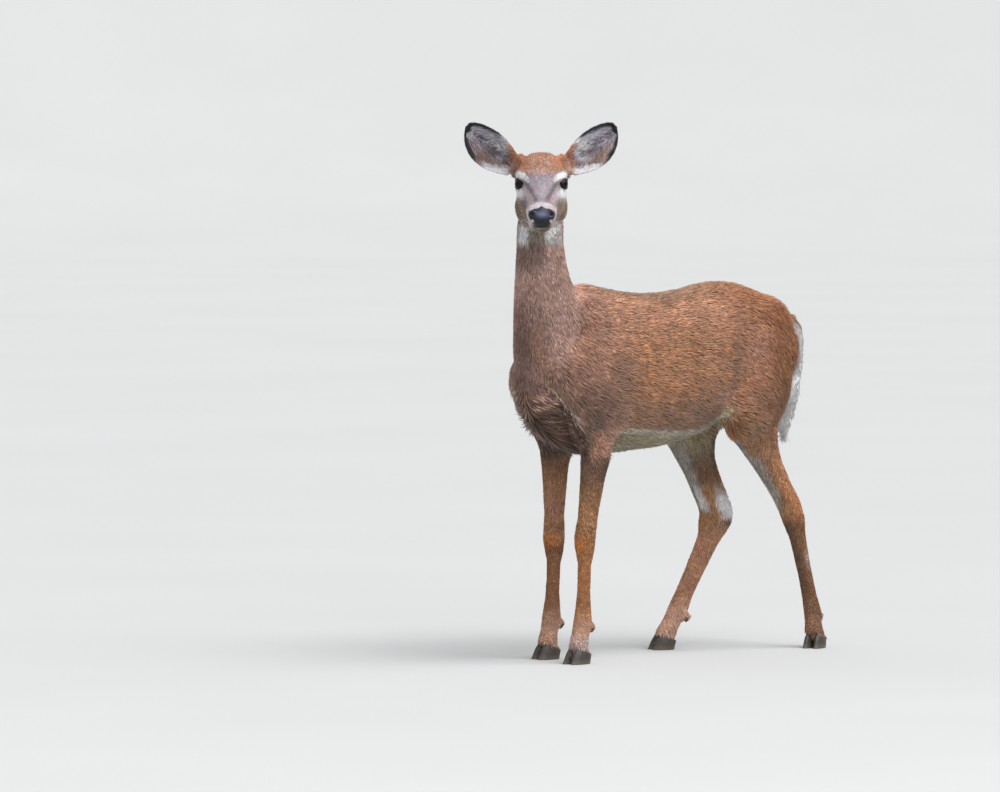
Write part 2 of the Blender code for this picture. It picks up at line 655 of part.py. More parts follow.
def build():
    clear_scene()
    shown = collection("white_tailed_deer")
    helpers = collection("cutters", hidden=True)

    trunk = fused_body(shown)
    head = fused_head(shown)

    # The head above and the neck below one plane behind the jaw.
    throat = plane_box((0.060, -0.362, 0.922), 50, 30, helpers)
    room = swollen(throat, GAP, helpers)
    boolean(head, room, "DIFFERENCE")
    keep_largest(head)
    boolean(trunk, throat, "INTERSECT")
    keep_largest(trunk)
    for helper in (throat, room):
        bpy.data.objects.remove(helper, do_unlink=True)

    # Legs: parted under the elbow and under a slope across the thigh, then at knee and hock.
    parts = [trunk, head]
    lower = {"fore": {}, "hind": {}}
    for side in (1, -1):
        word = LEFT_RIGHT[side]
        reach = {"left": 0.25, "right": 0.0} if side > 0 else {"left": 0.0, "right": 0.25}
        under = plane_box((GAP * side, -0.22, 0.424), 0, 0, helpers, rear=0.2, **reach)
        upper = part_under(trunk, f"foreleg_{word}_upper", under, shown, helpers)
        knee = Vector(FORE_JOINTS[side][2])
        under = plane_box(knee, 0, 0, helpers)
        lower["fore"][side] = part_under(upper, f"foreleg_{word}_lower", under, shown, helpers)
        parts += [upper, lower["fore"][side]]
        under = plane_box((GAP * side, 0.12, 0.445), 0, 18, helpers, **reach)
        upper = part_under(trunk, f"hindleg_{word}_upper", under, shown, helpers)
        hock = Vector(HIND_JOINTS[side][2])
        under = plane_box(hock, 0, 0, helpers)
        lower["hind"][side] = part_under(upper, f"hindleg_{word}_lower", under, shown, helpers)
        parts += [upper, lower["hind"][side]]
    toes = feet("fore", FORE_JOINTS, FORE_TOES_OUT, lower["fore"], shown, helpers)
    toes += feet("hind", HIND_JOINTS, HIND_TOES_OUT, lower["hind"], shown, helpers)

    # The neck, in front of a plane from the withers down to the breast.
    under = plane_box((0, -0.285, 0.672), 0, 54, helpers)
    neck = trunk
    neck.name = "neck"
    trunk = part_under(neck, "trunk", under, shown, helpers)
    parts.append(neck)

    tail = tail_form(shown)
    make_room(trunk, tail, helpers)
    ears = [ear(side, shown) for side in (1, -1)]
    eyes = []
    for side in (1, -1):
        place = head_place() @ Matrix.Translation((side * EYE_PLACE.x, -EYE_PLACE.y, EYE_PLACE.z))
        size = Matrix.Diagonal((EYE_RADIUS, EYE_RADIUS, EYE_RADIUS, 1))
        eyes.append(ball(f"eye_{LEFT_RIGHT[side]}", place @ size, shown, 14, 8))
    for eye in eyes:
        make_room(head, eye, helpers)
    for leaf in ears:
        make_room(leaf, head, helpers)
    for piece in parts:
        finish_piece(piece, piece.name.split("_")[0])
    finish_piece(trunk, "trunk")
    finish_piece(tail, "tail")
    for piece in ears:
        finish_piece(piece, "ear")
    for piece in eyes:
        finish_piece(piece, "eye")
    centre_on_ground(list(shown.objects))


if __name__ == "__main__":
    build()
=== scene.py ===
"""The looks of a young white-tailed deer, life size, as a still museum model.

One skin stands for all the flesh of the frame and lies under it by the depth of the coat.
The coat is solid tufts that grow from that skin and lie along it. Eyes, hooves and dewclaws
are pieces of their own. The deer faces -Y with its head turned left, its left side is +X.
Sizes are in metres, the small ones written in MM.
"""

from collections import namedtuple
from math import cos, pi, radians, sin

import bpy
import numpy as np
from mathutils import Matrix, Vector
from mathutils.bvhtree import BVHTree


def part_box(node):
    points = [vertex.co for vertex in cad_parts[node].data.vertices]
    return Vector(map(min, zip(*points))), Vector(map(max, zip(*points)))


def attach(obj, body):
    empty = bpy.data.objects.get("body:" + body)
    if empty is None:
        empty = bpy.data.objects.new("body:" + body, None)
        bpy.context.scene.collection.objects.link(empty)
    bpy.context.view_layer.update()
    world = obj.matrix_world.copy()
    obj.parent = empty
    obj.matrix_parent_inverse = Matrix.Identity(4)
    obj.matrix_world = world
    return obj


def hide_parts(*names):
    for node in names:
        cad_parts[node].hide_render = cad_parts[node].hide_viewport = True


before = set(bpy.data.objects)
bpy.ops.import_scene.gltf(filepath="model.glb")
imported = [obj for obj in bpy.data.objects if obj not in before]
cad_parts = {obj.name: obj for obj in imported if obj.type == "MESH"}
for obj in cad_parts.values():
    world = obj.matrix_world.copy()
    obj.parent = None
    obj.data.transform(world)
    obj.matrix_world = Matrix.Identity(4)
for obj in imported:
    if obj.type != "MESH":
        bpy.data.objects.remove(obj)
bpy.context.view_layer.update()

MM = 0.001
SEED = 7

# ---- Driving sizes ----
TOUCH = 0.5 * MM  # flesh nodes are swollen by this to close the thin cuts between them
BODY_GRID = 5.0 * MM
HEAD_GRID = 2.0 * MM
COLLAR_DROP = 0.095  # the fine head mesh meets the body's this far under the neck's top
COLLAR_GAP = 1.5 * MM  # from that height to each of the two rims
COLLAR_BLEND = 0.012  # reach of the smoothing across it
HEAD_NOD = radians(2)
EYE_FORWARD = 3 * MM  # the eyeballs' lead over the head's own origin

# Depth of the coat over the skin in each part
DEPTHS = {
    "trunk": 4.2 * MM, "neck": 3.8 * MM, "head": 1.2 * MM, "ear": 0.9 * MM, "tail": 3.0 * MM,
    "foreleg_upper": 2.0 * MM, "foreleg_lower": 1.2 * MM,
    "hindleg_upper": 2.8 * MM, "hindleg_lower": 1.4 * MM,
    "hoof": 3.5 * MM, "dewclaw": 2.5 * MM, "eye": 0.0,
}
# How strongly facets are smoothed away in each part
SMOOTHING = {
    "trunk": 1.0, "neck": 0.9, "head": 0.9, "tail": 1.0, "ear": 0.32, "foreleg_upper": 0.55,
    "foreleg_lower": 0.22, "hindleg_upper": 0.8, "hindleg_lower": 0.25, "hoof": 0.2,
    "dewclaw": 0.15, "eye": 0.9,
}
DEWCLAW_COVER = 3.2 * MM  # how much higher the skin lies round the top of a dewclaw
HEEL_DROP = 0.30  # of a hoof's height, from the toe's top to the heel's
SKIN_TRIANGLES = 180_000
WEB_HEIGHT = 16 * MM  # lowest skin, between the two claws of a foot

CAMERA_AZIMUTH = 50
CAMERA_ELEVATION = 3.2
CAMERA_DISTANCE = 18.0
SENSOR = 36.0
VIEW_WIDTH = 1000 / 481  # metres across the view at the deer
VIEW_ORIGIN = (-0.0565, 0.0540, 0.0)
VIEW_AIM = (-0.3222, 0.5374)  # right and up of that point, at the view's middle
GROUND_REACH = 30.0


# ---- Small tools ----
def linear(code):
    """Linear colour of an sRGB hex value."""
    parts = np.array([int(code[k : k + 2], 16) / 255 for k in (1, 3, 5)])
    return np.where(parts <= 0.04045, parts / 12.92, ((parts + 0.055) / 1.055) ** 2.4)


def ramp(low, high, value):
    """Smooth step from 0 at low to 1 at high, which may be the smaller."""
    t = np.clip((value - low) / (high - low), 0, 1)
    return t * t * (3 - 2 * t)


def bell(value, width):
    """1 where the value is 0, down to a third at one width from it."""
    return np.exp(-((value / width) ** 2))


def blot(across, upright, width, height):
    """A soft oval patch."""
    return np.exp(-((across / width) ** 2) - (upright / height) ** 2)


def unit(vectors):
    return vectors / np.maximum(np.linalg.norm(vectors, axis=-1, keepdims=True), 1e-12)


NOISE_TABLE = np.random.default_rng(SEED).random(1 << 16)


def noise(points, size, layer=0):
    """Smooth random values from 0 to 1 with features of the given size."""
    grid = points / size
    cell = np.floor(grid).astype(np.int64)
    part = grid - cell
    part = part * part * (3 - 2 * part)
    total = np.zeros(len(points))
    for dx, dy, dz in np.ndindex(2, 2, 2):
        x, y, z = (cell + (dx, dy, dz + 131 * layer)).T
        code = (x * 73856093) ^ (y * 19349663) ^ (z * 83492791)
        near_x, near_y, near_z = np.abs(1 - np.array((dx, dy, dz)) - part).T
        total += near_x * near_y * near_z * NOISE_TABLE[code & 0xFFFF]
    return total


def link(name, mesh):
    obj = bpy.data.objects.new(name, mesh)
    bpy.context.scene.collection.objects.link(obj)
    return obj


def select_only(obj):
    bpy.ops.object.select_all(action="DESELECT")
    obj.select_set(True)
    bpy.context.view_layer.objects.active = obj


def open_mesh(obj, action="SELECT"):
    """Starts edit mode with all of a mesh selected, or none."""
    select_only(obj)
    bpy.ops.object.mode_set(mode="EDIT")
    bpy.ops.mesh.select_all(action=action)


def close_mesh():
    bpy.ops.object.mode_set(mode="OBJECT")


def apply_modifier(obj, kind, **settings):
    modifier = obj.modifiers.new(kind.lower(), kind)
    for key, value in settings.items():
        setattr(modifier, key, value)
    select_only(obj)
    bpy.ops.object.modifier_apply(modifier=modifier.name)


def rows_of(items, field, width, kind=float):
    """One field of all of a mesh's items, a row each."""
    flat = np.empty(len(items) * width, kind)
    items.foreach_get(field, flat)
    return flat.reshape(-1, width)


def points_of(mesh):
    return rows_of(mesh.vertices, "co", 3)


def normals_of(mesh):
    return rows_of(mesh.vertex_normals, "vector", 3)


def edges_of(mesh):
    return rows_of(mesh.edges, "vertices", 2, np.int64)


def triangles_of(mesh):
    mesh.calc_loop_triangles()
    return rows_of(mesh.loop_triangles, "vertices", 3, np.int64)


def set_points(mesh, points):
    mesh.vertices.foreach_set("co", points.astype(np.float32).ravel())
    mesh.update()


def add_attribute(mesh, name, kind, field, values):
    """Keeps values on a mesh's vertices under a name that materials read."""
    mesh.attributes.new(name, kind, "POINT").data.foreach_set(field, values.ravel())


def add_colour(mesh, colours):
    """Keeps linear colours on a mesh's vertices as its coat's colour."""
    flat = np.ones((len(mesh.vertices), 4))
    flat[:, :3] = np.clip(colours, 0, 1)
    add_attribute(mesh, "coat_colour", "FLOAT_COLOR", "color", flat)


def relaxed(values, edges, rounds, share=0.5):
    """Values on a mesh's vertices, each moved towards its neighbours' mean, over and over."""
    count = len(values)
    values = np.array(values, float)
    flat = values.reshape(count, -1)
    ends = np.concatenate([edges[:, 0], edges[:, 1]])
    others = np.concatenate([edges[:, 1], edges[:, 0]])
    degree = np.maximum(np.bincount(ends, minlength=count), 1)
    share = np.broadcast_to(share, (count,))
    for _ in range(rounds):
        for k in range(flat.shape[1]):
            mean = np.bincount(ends, weights=flat[others, k], minlength=count) / degree
            flat[:, k] += share * (mean - flat[:, k])
    return flat.reshape(values.shape)


def relax_mesh(mesh, rounds, share):
    """Smooths a mesh by moving each vertex towards its neighbours' middle."""
    set_points(mesh, relaxed(points_of(mesh), edges_of(mesh), rounds, share))


# ---- The frame's landmarks ----
SIDES = {1: "left", -1: "right"}
Ear = namedtuple("Ear", "root along hollow lower length")


def middle(node):
    low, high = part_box(node)
    return np.array((low + high) / 2)


EYES = {side: middle(f"eye_{word}") for side, word in SIDES.items()}


def head_axes():
    """The head's origin between the eyes, and its left, forward and up directions."""
    left = unit(EYES[1] - EYES[-1])
    level = unit(np.cross(left, (0, 0, 1)))
    up = np.array((0, 0, 1.0))
    forward = level * cos(HEAD_NOD) - up * sin(HEAD_NOD)
    up = np.cross(forward, left)
    return (EYES[1] + EYES[-1]) / 2 - forward * EYE_FORWARD, left, forward, up


HEAD_ORIGIN, HEAD_LEFT, HEAD_FORWARD, HEAD_UP = head_axes()
EYE_RADIUS = float(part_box("eye_left")[1].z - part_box("eye_left")[0].z) / 2
KNEE = {side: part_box(f"foreleg_{word}_lower")[1].z for side, word in SIDES.items()}
HOCK = {side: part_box(f"hindleg_{word}_lower")[1].z for side, word in SIDES.items()}
MIDLINE = float(middle("tail")[0])
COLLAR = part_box("neck")[1].z - COLLAR_DROP


def head_places(points):
    """Forward, left and up of points in the head's own frame."""
    local = points - HEAD_ORIGIN
    return local @ HEAD_FORWARD, local @ HEAD_LEFT, local @ HEAD_UP


def ear_axes(side):
    """An ear's root, its direction to the tip, the way its hollow faces, its lower edge's side
    and its length."""
    points = points_of(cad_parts[f"ear_{SIDES[side]}"].data)
    away = np.linalg.norm(points - HEAD_ORIGIN, axis=1)
    tip = points[np.argmax(away)]
    root = points[away < np.quantile(away, 0.10)].mean(axis=0)
    along = unit(tip - root)
    hollow = unit(HEAD_FORWARD - HEAD_FORWARD.dot(along) * along)
    lower = np.cross(along, hollow) * side
    return Ear(root, along, hollow, lower, float(np.linalg.norm(tip - root)))


EARS = {side: ear_axes(side) for side in SIDES}

# ---- Skin: the flesh as one surface ----
NODES = sorted(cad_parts)
FLESH = [n for n in NODES if not n.startswith(("hoof", "dewclaw", "eye"))]


def part_of(node):
    """The kind of part a node is, such as foreleg_lower or hoof."""
    words = [w for w in node.split("_") if w not in ("left", "right")]
    return words[0] if words[0] in ("hoof", "dewclaw") else "_".join(words)


def flesh_copy(node, rounds=0):
    """A merged, slightly swollen copy of a CAD node, rounded by subdivision if asked."""
    obj = link("flesh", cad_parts[node].data.copy())
    open_mesh(obj)
    bpy.ops.mesh.remove_doubles(threshold=0.01 * MM)
    close_mesh()
    if rounds:
        apply_modifier(obj, "SUBSURF", levels=rounds, render_levels=rounds)
    set_points(obj.data, points_of(obj.data) + normals_of(obj.data) * TOUCH)
    return obj


def joined(name, pieces):
    bpy.ops.object.select_all(action="DESELECT")
    for piece in pieces:
        piece.select_set(True)
    bpy.context.view_layer.objects.active = pieces[0]
    bpy.ops.object.join()
    pieces[0].name = name
    return pieces[0]


def remeshed(name, nodes, grid, rounded=()):
    """One closed surface round copies of the nodes, in faces of the grid's size."""
    whole = joined(name, [flesh_copy(n, 2 if n in rounded else 0) for n in nodes])
    whole.data.materials.clear()
    apply_modifier(whole, "REMESH", mode="VOXEL", voxel_size=grid)
    return whole


def node_tree(nodes):
    """A search tree of the nodes' triangles, and the node each triangle is of."""
    corners, faces, owner = [], [], []
    for number, node in enumerate(nodes):
        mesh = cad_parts[node].data
        start = len(corners)
        corners += [v.co.copy() for v in mesh.vertices]
        found = triangles_of(mesh)
        faces += (found + start).tolist()
        owner += [number] * len(found)
    return BVHTree.FromPolygons(corners, faces), np.array(owner)


KINDS = [part_of(n) for n in NODES]
TREE, TREE_OWNER = node_tree(NODES)


def nearest_node(points):
    """For each point the number of the nearest node and the height over its surface."""
    owner = np.empty(len(points), np.int64)
    height = np.empty(len(points))
    for k, point in enumerate(points):
        place, normal, index, distance = TREE.find_nearest(point)
        owner[k] = TREE_OWNER[index]
        outside = (Vector(point) - place).dot(normal) > 0
        height[k] = distance if outside else -distance
    return owner, height


def dewclaw_tops(points, owner):
    """1 over the upper half of a dewclaw, where skin and hair hide the horn."""
    found = np.zeros(len(points))
    for number, node in enumerate(NODES):
        if node.startswith("dewclaw"):
            low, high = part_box(node)
            share = (points[:, 2] - low.z) / (high.z - low.z)
            found = np.where(owner == number, ramp(0.30, 0.55, share), found)
    return found


def settle(obj, rounds):
    """Smooths facets away, then moves the surface to the depth of the coat."""
    mesh = obj.data
    edges = edges_of(mesh)
    points = points_of(mesh)
    owner, _ = nearest_node(points)
    strength = 0.5 * relaxed(np.array([SMOOTHING[k] for k in KINDS])[owner], edges, 6)
    points = relaxed(points, edges, rounds, strength)
    set_points(mesh, points)
    depth = np.array([DEPTHS[k] for k in KINDS])[owner]
    depth -= DEWCLAW_COVER * dewclaw_tops(points, owner)
    depth = relaxed(depth, edges, 10)
    depth *= 1 - nose_pad(points)
    _, height = nearest_node(points)
    error = relaxed(-depth - height, edges, max(4, rounds // 2), strength)
    set_points(mesh, points + normals_of(mesh) * error[:, None])


def cut_across(obj, height, keep_above, fill=False):
    """Cuts a mesh level and keeps one side of it."""
    open_mesh(obj)
    bpy.ops.mesh.bisect(
        plane_co=(0, 0, height), plane_no=(0, 0, 1),
        clear_inner=keep_above, clear_outer=not keep_above, use_fill=fill,
    )
    close_mesh()


def bridged(body, head):
    """Body and head as one surface, with new faces between their cut rims."""
    skin = joined("skin", [body, head])
    bpy.ops.object.mode_set(mode="EDIT")
    bpy.ops.mesh.select_mode(type="EDGE")
    bpy.ops.mesh.select_all(action="DESELECT")
    bpy.ops.mesh.select_non_manifold()
    bpy.ops.mesh.bridge_edge_loops()
    bpy.ops.mesh.select_mode(type="VERT")
    close_mesh()
    relax_mesh(skin.data, 12, 0.5 * bell(points_of(skin.data)[:, 2] - COLLAR, COLLAR_BLEND))
    return skin


def subdivide_where(obj, chosen):
    """Splits each face whose corners are all chosen into four."""
    mesh = obj.data
    open_mesh(obj, "DESELECT")
    close_mesh()
    mesh.vertices.foreach_set("select", chosen)
    mesh.edges.foreach_set("select", chosen[edges_of(mesh)].all(axis=1))
    whole = np.array([chosen[list(polygon.vertices)].all() for polygon in mesh.polygons])
    mesh.polygons.foreach_set("select", whole)
    bpy.ops.object.mode_set(mode="EDIT")
    bpy.ops.mesh.select_mode(type="FACE")
    bpy.ops.mesh.subdivide(number_cuts=1, smoothness=0)
    bpy.ops.mesh.select_mode(type="VERT")
    close_mesh()


# ---- The head's small forms ----
NOSE_TOP = -0.0400
NOSE_HEIGHTS = (-0.0810, -0.0725, -0.0650, -0.0590, -0.0530, -0.0480, -0.0435, NOSE_TOP)
NOSE_HALVES = (0.0140, 0.0180, 0.0215, 0.0258, 0.0276, 0.0266, 0.0222, 0.0150)
NOSTRIL = (0.0203, -0.0515)
OPENING = (radians(68), radians(38))  # half width and half height of the eye's opening
EYE_LOOK = radians(54)  # the opening's middle, turned out from straight ahead
LID_REACH = 0.034  # of the lids' shape into the face, from the eyeball's centre


def nose_edge(points):
    """The way in from the edge of the bare nose pad, as seen from the front."""
    _, left, up = head_places(points)
    sides = np.interp(up, NOSE_HEIGHTS, NOSE_HALVES) - np.abs(left)
    notch = 4.5 * MM * bell(left, 6 * MM)
    corner = np.hypot(np.abs(left) - 0.0190, up + 0.0655) - 3.2 * MM
    return np.minimum(np.minimum(sides, corner), np.minimum(notch + NOSE_TOP - up, up + 0.0800))


def nose_pad(points):
    """1 on the bare nose pad, 0 off it."""
    return ramp(-0.7 * MM, 1.0 * MM, nose_edge(points)) * ramp(0.120, 0.127, head_places(points)[0])


def mouth_height(forward):
    """Height of the line between the lips."""
    return -0.0785 + (0.152 - forward) * 0.16


def eye_axes(side):
    """The way an eye's opening looks and the way to its front corner."""
    look = HEAD_LEFT * side * sin(EYE_LOOK) + HEAD_FORWARD * cos(EYE_LOOK)
    front = HEAD_FORWARD * sin(EYE_LOOK) - HEAD_LEFT * side * cos(EYE_LOOK)
    return look, front


def eye_places(points, side):
    """Distance from the eyeball's centre, the way along its surface from the opening's edge
    (negative inside it), the sideways angle and the height angle."""
    look, front = eye_axes(side)
    local = points - EYES[side]
    away = np.linalg.norm(local, axis=1)
    direction = local / np.maximum(away, 1e-9)[:, None]
    sideways = np.arctan2(direction @ front, direction @ look)
    height = np.arcsin(np.clip(direction @ HEAD_UP, -1, 1))
    reach = np.clip(1 - (sideways / OPENING[0]) ** 2, 0, 1) ** 0.8
    edge = np.abs(height - 0.02) - OPENING[1] * reach
    corner = np.hypot(np.abs(sideways) - OPENING[0], height)
    edge = np.where(np.abs(sideways) < OPENING[0], edge, corner)
    return away, edge * EYE_RADIUS, sideways, height


def near_eyes(points, inner, outer):
    """1 within the inner distance of an eyeball's centre, 0 past the outer one."""
    away = [np.linalg.norm(points - centre, axis=1) for centre in EYES.values()]
    return ramp(outer, inner, np.minimum(*away))


def shaped_eyes(points):
    """Lids round both eyes: their edges rest on the eyeball and run out into the face."""
    for side, centre in EYES.items():
        away, edge, _, height = eye_places(points, side)
        above = ramp(-0.1, 0.5, height)
        thick = (0.7 + 0.5 * above) * MM
        lid = EYE_RADIUS + 0.9 * MM + thick * ramp(0.1 * MM, 1.8 * MM, edge)
        lid += 1.8 * MM * above * ramp(2.5 * MM, 8 * MM, edge)
        crease = 0.8 * MM * bell(edge - 4.4 * MM, 1.0 * MM) * above
        outer = lid + (away - lid) * ramp(1.8 * MM, 11 * MM, edge) - crease
        inner = EYE_RADIUS - 2.5 * MM
        radius = inner + (outer - inner) * ramp(-0.6 * MM, 0.4 * MM, edge)
        near = (away < LID_REACH) & ((points - HEAD_ORIGIN) @ HEAD_LEFT * side > 0.016)
        radius = np.where(near, away + (radius - away) * (1 - ramp(0.026, LID_REACH, away)), away)
        points = centre + (points - centre) * (radius / np.maximum(away, 1e-9))[:, None]
    return points


def calmed_sockets(mesh):
    """The brow and cheek round each eye as one soft swelling, before the lids are cut in it."""
    points, edges = points_of(mesh), edges_of(mesh)
    points = relaxed(points, edges, 30, 0.5 * near_eyes(points, 0.022, 0.036))
    points = shaped_eyes(points)
    ring = near_eyes(points, 0.020, 0.036)
    for side in SIDES:
        edge = eye_places(points, side)[1]
        mine = (points - HEAD_ORIGIN) @ HEAD_LEFT * side > 0
        ring = np.where(mine, ring * ramp(2 * MM, 6 * MM, edge), ring)
    points = relaxed(points, edges, 14, 0.5 * ring)
    set_points(mesh, points)
    height = nearest_node(points)[1]
    error = relaxed(-DEPTHS["head"] - height, edges, 16) * ring
    set_points(mesh, points + normals_of(mesh) * np.clip(error, -4 * MM, 4 * MM)[:, None])


def shaped_muzzle(points, normals):
    """Nostrils, the groove under the nose and the line of the mouth."""
    forward, left, up = head_places(points)
    front = ramp(0.125, 0.138, forward)
    side = np.abs(left)
    across, rise = (side - NOSTRIL[0]) / 0.0052, (up - NOSTRIL[1]) / 0.0042
    hole = (across + 0.35 * rise) ** 2 + (rise - 0.25 * across) ** 2
    curl = up - NOSTRIL[1] - 0.0045 - 0.5 * (side - 0.0245)
    slit = ((side - 0.0245) / 0.0050) ** 2 + (curl / 0.0020) ** 2
    pit = np.maximum(6.0 * MM * np.exp(-(hole**1.5)), 3.4 * MM * np.exp(-slit)) * front
    groove = 1.3 * MM * bell(left, 1.1 * MM) * ramp(-0.056, -0.064, up) * front
    gap = np.abs(up - mouth_height(forward))
    mouth = 2.4 * MM * bell(gap, 1.3 * MM) * ramp(0.078, 0.092, forward)
    rim = 0.9 * MM * np.exp(-((np.sqrt(hole) - 1.55) ** 2) / 0.10) * front * ramp(-0.8, 0.6, rise)
    return points + normals * (rim - pit - groove - mouth)[:, None]


def shaped_tear_pits(points, normals):
    """The shallow gland pit in front of each eye's inner corner."""
    forward, left, up = head_places(points)
    spot = ((forward - 0.036) / 0.012) ** 2 + ((np.abs(left) - 0.034) / 0.008) ** 2
    spot = spot + ((up + 0.010) / 0.006) ** 2
    return points - normals * (2.2 * MM * np.exp(-spot))[:, None]


def conch_middle(ear):
    """Centre of the channel at the foot of an ear's hollow."""
    return ear.root + ear.along * 0.008 + ear.lower * 0.011


def shaped_conches(points):
    """The deep channel at the foot of each ear's hollow."""
    for ear in EARS.values():
        local = points - conch_middle(ear)
        flat = ((local @ ear.along) / 0.021) ** 2 + ((local @ ear.lower) / 0.0135) ** 2
        facing = ramp(-0.026, -0.006, local @ ear.hollow)
        points = points - ear.hollow * (14 * MM * np.exp(-(flat**1.5)) * facing)[:, None]
    return points


def near_conches(points):
    """1 at the foot of each ear's hollow, 0 away from it."""
    away = [np.linalg.norm(points - conch_middle(ear), axis=1) for ear in EARS.values()]
    return ramp(0.034, 0.018, np.minimum(*away))


def make_skin():
    """The whole skin, closed, under the flesh nodes by the coat's depth."""
    ears = [n for n in NODES if n.startswith("ear")]
    eyes = [n for n in NODES if n.startswith("eye")]
    body = remeshed("lower_skin", [n for n in NODES if n not in ears + eyes + ["head"]], BODY_GRID)
    cut_across(body, WEB_HEIGHT, True, fill=True)
    settle(body, 26)
    cut_across(body, COLLAR - COLLAR_GAP, False)
    head = remeshed("upper_skin", ["head", "neck"] + ears + eyes, HEAD_GRID, rounded=ears)
    settle(head, 18)
    set_points(head.data, shaped_conches(points_of(head.data)))
    relax_mesh(head.data, 6, 0.4 * near_conches(points_of(head.data)))
    calmed_sockets(head.data)
    cut_across(head, COLLAR + COLLAR_GAP, True)
    skin = bridged(body, head)
    for eye_reach, muzzle_start in ((0.032, 0.090), (0.024, 0.135)):
        points = points_of(skin.data)
        forward, left, up = head_places(points)
        near = (np.abs(left) < 0.06) & (up > -0.12) & (forward > muzzle_start)
        for centre in EYES.values():
            near |= np.linalg.norm(points - centre, axis=1) < eye_reach
        subdivide_where(skin, near)
    mesh = skin.data
    forward, left, up = head_places(points_of(mesh))
    fresh = (np.abs(left) < 0.07) & (forward > -0.05) & (np.abs(up) < 0.12) & (forward < 0.2)
    relax_mesh(mesh, 4, 0.5 * fresh)
    set_points(mesh, shaped_eyes(points_of(mesh)))
    set_points(mesh, shaped_tear_pits(points_of(mesh), normals_of(mesh)))
    set_points(mesh, shaped_muzzle(points_of(mesh), normals_of(mesh)))
    relax_mesh(mesh, 1, 0.35 * fresh)
    apply_modifier(skin, "DECIMATE", ratio=SKIN_TRIANGLES / len(triangles_of(mesh)))
    apply_modifier(skin, "TRIANGULATE")
    mesh = skin.data
    fine = near_eyes(points_of(mesh), 0.016, 0.024) + ramp(0.11, 0.13, head_places(points_of(mesh))[0])
    relax_mesh(mesh, 1, 0.45 * (1 - np.clip(fine, 0, 1)))
    mesh.shade_smooth()
    return skin


# ---- What grows where ----
PARTS = ("trunk", "neck", "head", "ear", "tail", "foreleg", "hindleg")


def part_number(node):
    """A node's number among the PARTS, where a foot goes with its leg and an eye with the head."""
    word = node.removeprefix("hoof_").removeprefix("dewclaw_").replace("eye", "head")
    return next(k for k, part in enumerate(PARTS) if word.startswith(part))


def part_shares(points, edges):
    """How much each vertex belongs to each of the PARTS, softly across their borders."""
    number = np.array([part_number(node) for node in NODES])
    return relaxed(np.eye(len(PARTS))[number[nearest_node(points)[0]]], edges, 7)


# The fold along the front of each shoulder: its height and its distance from the midline
RIDGE_HEIGHTS = (0.440, 0.482, 0.517, 0.543, 0.562, 0.576, 0.600)
RIDGE_HALVES = (0.0880, 0.0881, 0.0846, 0.0762, 0.0663, 0.0520, 0.0300)
# The line where the pale belly begins: its places from front to rear and its heights
BELLY_PLACES = (-0.13, -0.08, 0.006, 0.084, 0.122, 0.160, 0.180, 0.200)
BELLY_HEIGHTS = (0.477, 0.483, 0.475, 0.472, 0.485, 0.503, 0.511, 0.500)


class Ground:
    """Points on the skin with all that the coat and its markings are worked out from.

    x is the way from the midline to the deer's left, aside the same to either side, y to the
    rear and z up from the floor. out, back and top are how far the skin there faces outward,
    rearward and upward, from -1 to 1. forward, left and up are places in the head's own frame.
    """

    def __init__(self, points, normals, shares):
        self.points, self.normals = points, normals
        self.share = {part: shares[:, k] for k, part in enumerate(PARTS)}
        self.legs = self.share["foreleg"] + self.share["hindleg"]
        self.x = points[:, 0] - MIDLINE
        self.aside = np.abs(self.x)
        self.y, self.z = points[:, 1], points[:, 2]
        self.side = np.where(self.x > 0, 1, -1)
        self.forward, self.left, self.up = head_places(points)
        self.out = normals[:, 0] * self.side
        self.back, self.top = normals[:, 1], normals[:, 2]
        self.face = normals @ HEAD_FORWARD
        self.nose = nose_pad(points) * self.share["head"]
        self.ridge = self.aside - np.interp(self.z, RIDGE_HEIGHTS, RIDGE_HALVES)
        self.crest = bell(self.ridge, 2.6 * MM) * ramp(0.590, 0.570, self.z)
        self.crest = self.crest * ramp(0.445, 0.470, self.z) * ramp(-0.18, -0.21, self.y)
        self.find_ears()
        self.find_eyes()

    def find_ears(self):
        """Along an ear from 0 to 1, across it towards its lower edge, and 1 in its hollow."""
        count = len(self.points)
        self.ear_along, self.ear_across = np.zeros(count), np.zeros(count)
        self.ear_inside, self.ear_half = np.zeros(count), np.full(count, 0.04)
        for side, ear in EARS.items():
            local = self.points - ear.root
            mine = self.left * side > 0
            share = local @ ear.along / ear.length
            half = 0.040 * np.sin(pi * np.clip(0.10 + 0.86 * share, 0.03, 1.0)) ** 0.7 + 0.001
            across = (local @ ear.lower - 0.010 * np.sin(pi * np.clip(share, 0, 1))) / half
            inside = ramp(-0.15, 0.35, self.normals @ ear.hollow)
            self.ear_along = np.where(mine, share, self.ear_along)
            self.ear_across = np.where(mine, across, self.ear_across)
            self.ear_half = np.where(mine, half, self.ear_half)
            self.ear_inside = np.where(mine, inside, self.ear_inside)

    def find_eyes(self):
        """The way from the nearer eye's opening along the eyeball, and the two angles there."""
        self.eye_edge = np.full(len(self.points), 0.1)
        self.eye_sideways = np.zeros(len(self.points))
        self.eye_height = np.zeros(len(self.points))
        for side in SIDES:
            away, edge, sideways, height = eye_places(self.points, side)
            near = (away < 0.045) & (self.left * side > 0)
            self.eye_edge = np.where(near, edge + np.maximum(away - 0.022, 0), self.eye_edge)
            self.eye_sideways = np.where(near, sideways, self.eye_sideways)
            self.eye_height = np.where(near, height, self.eye_height)


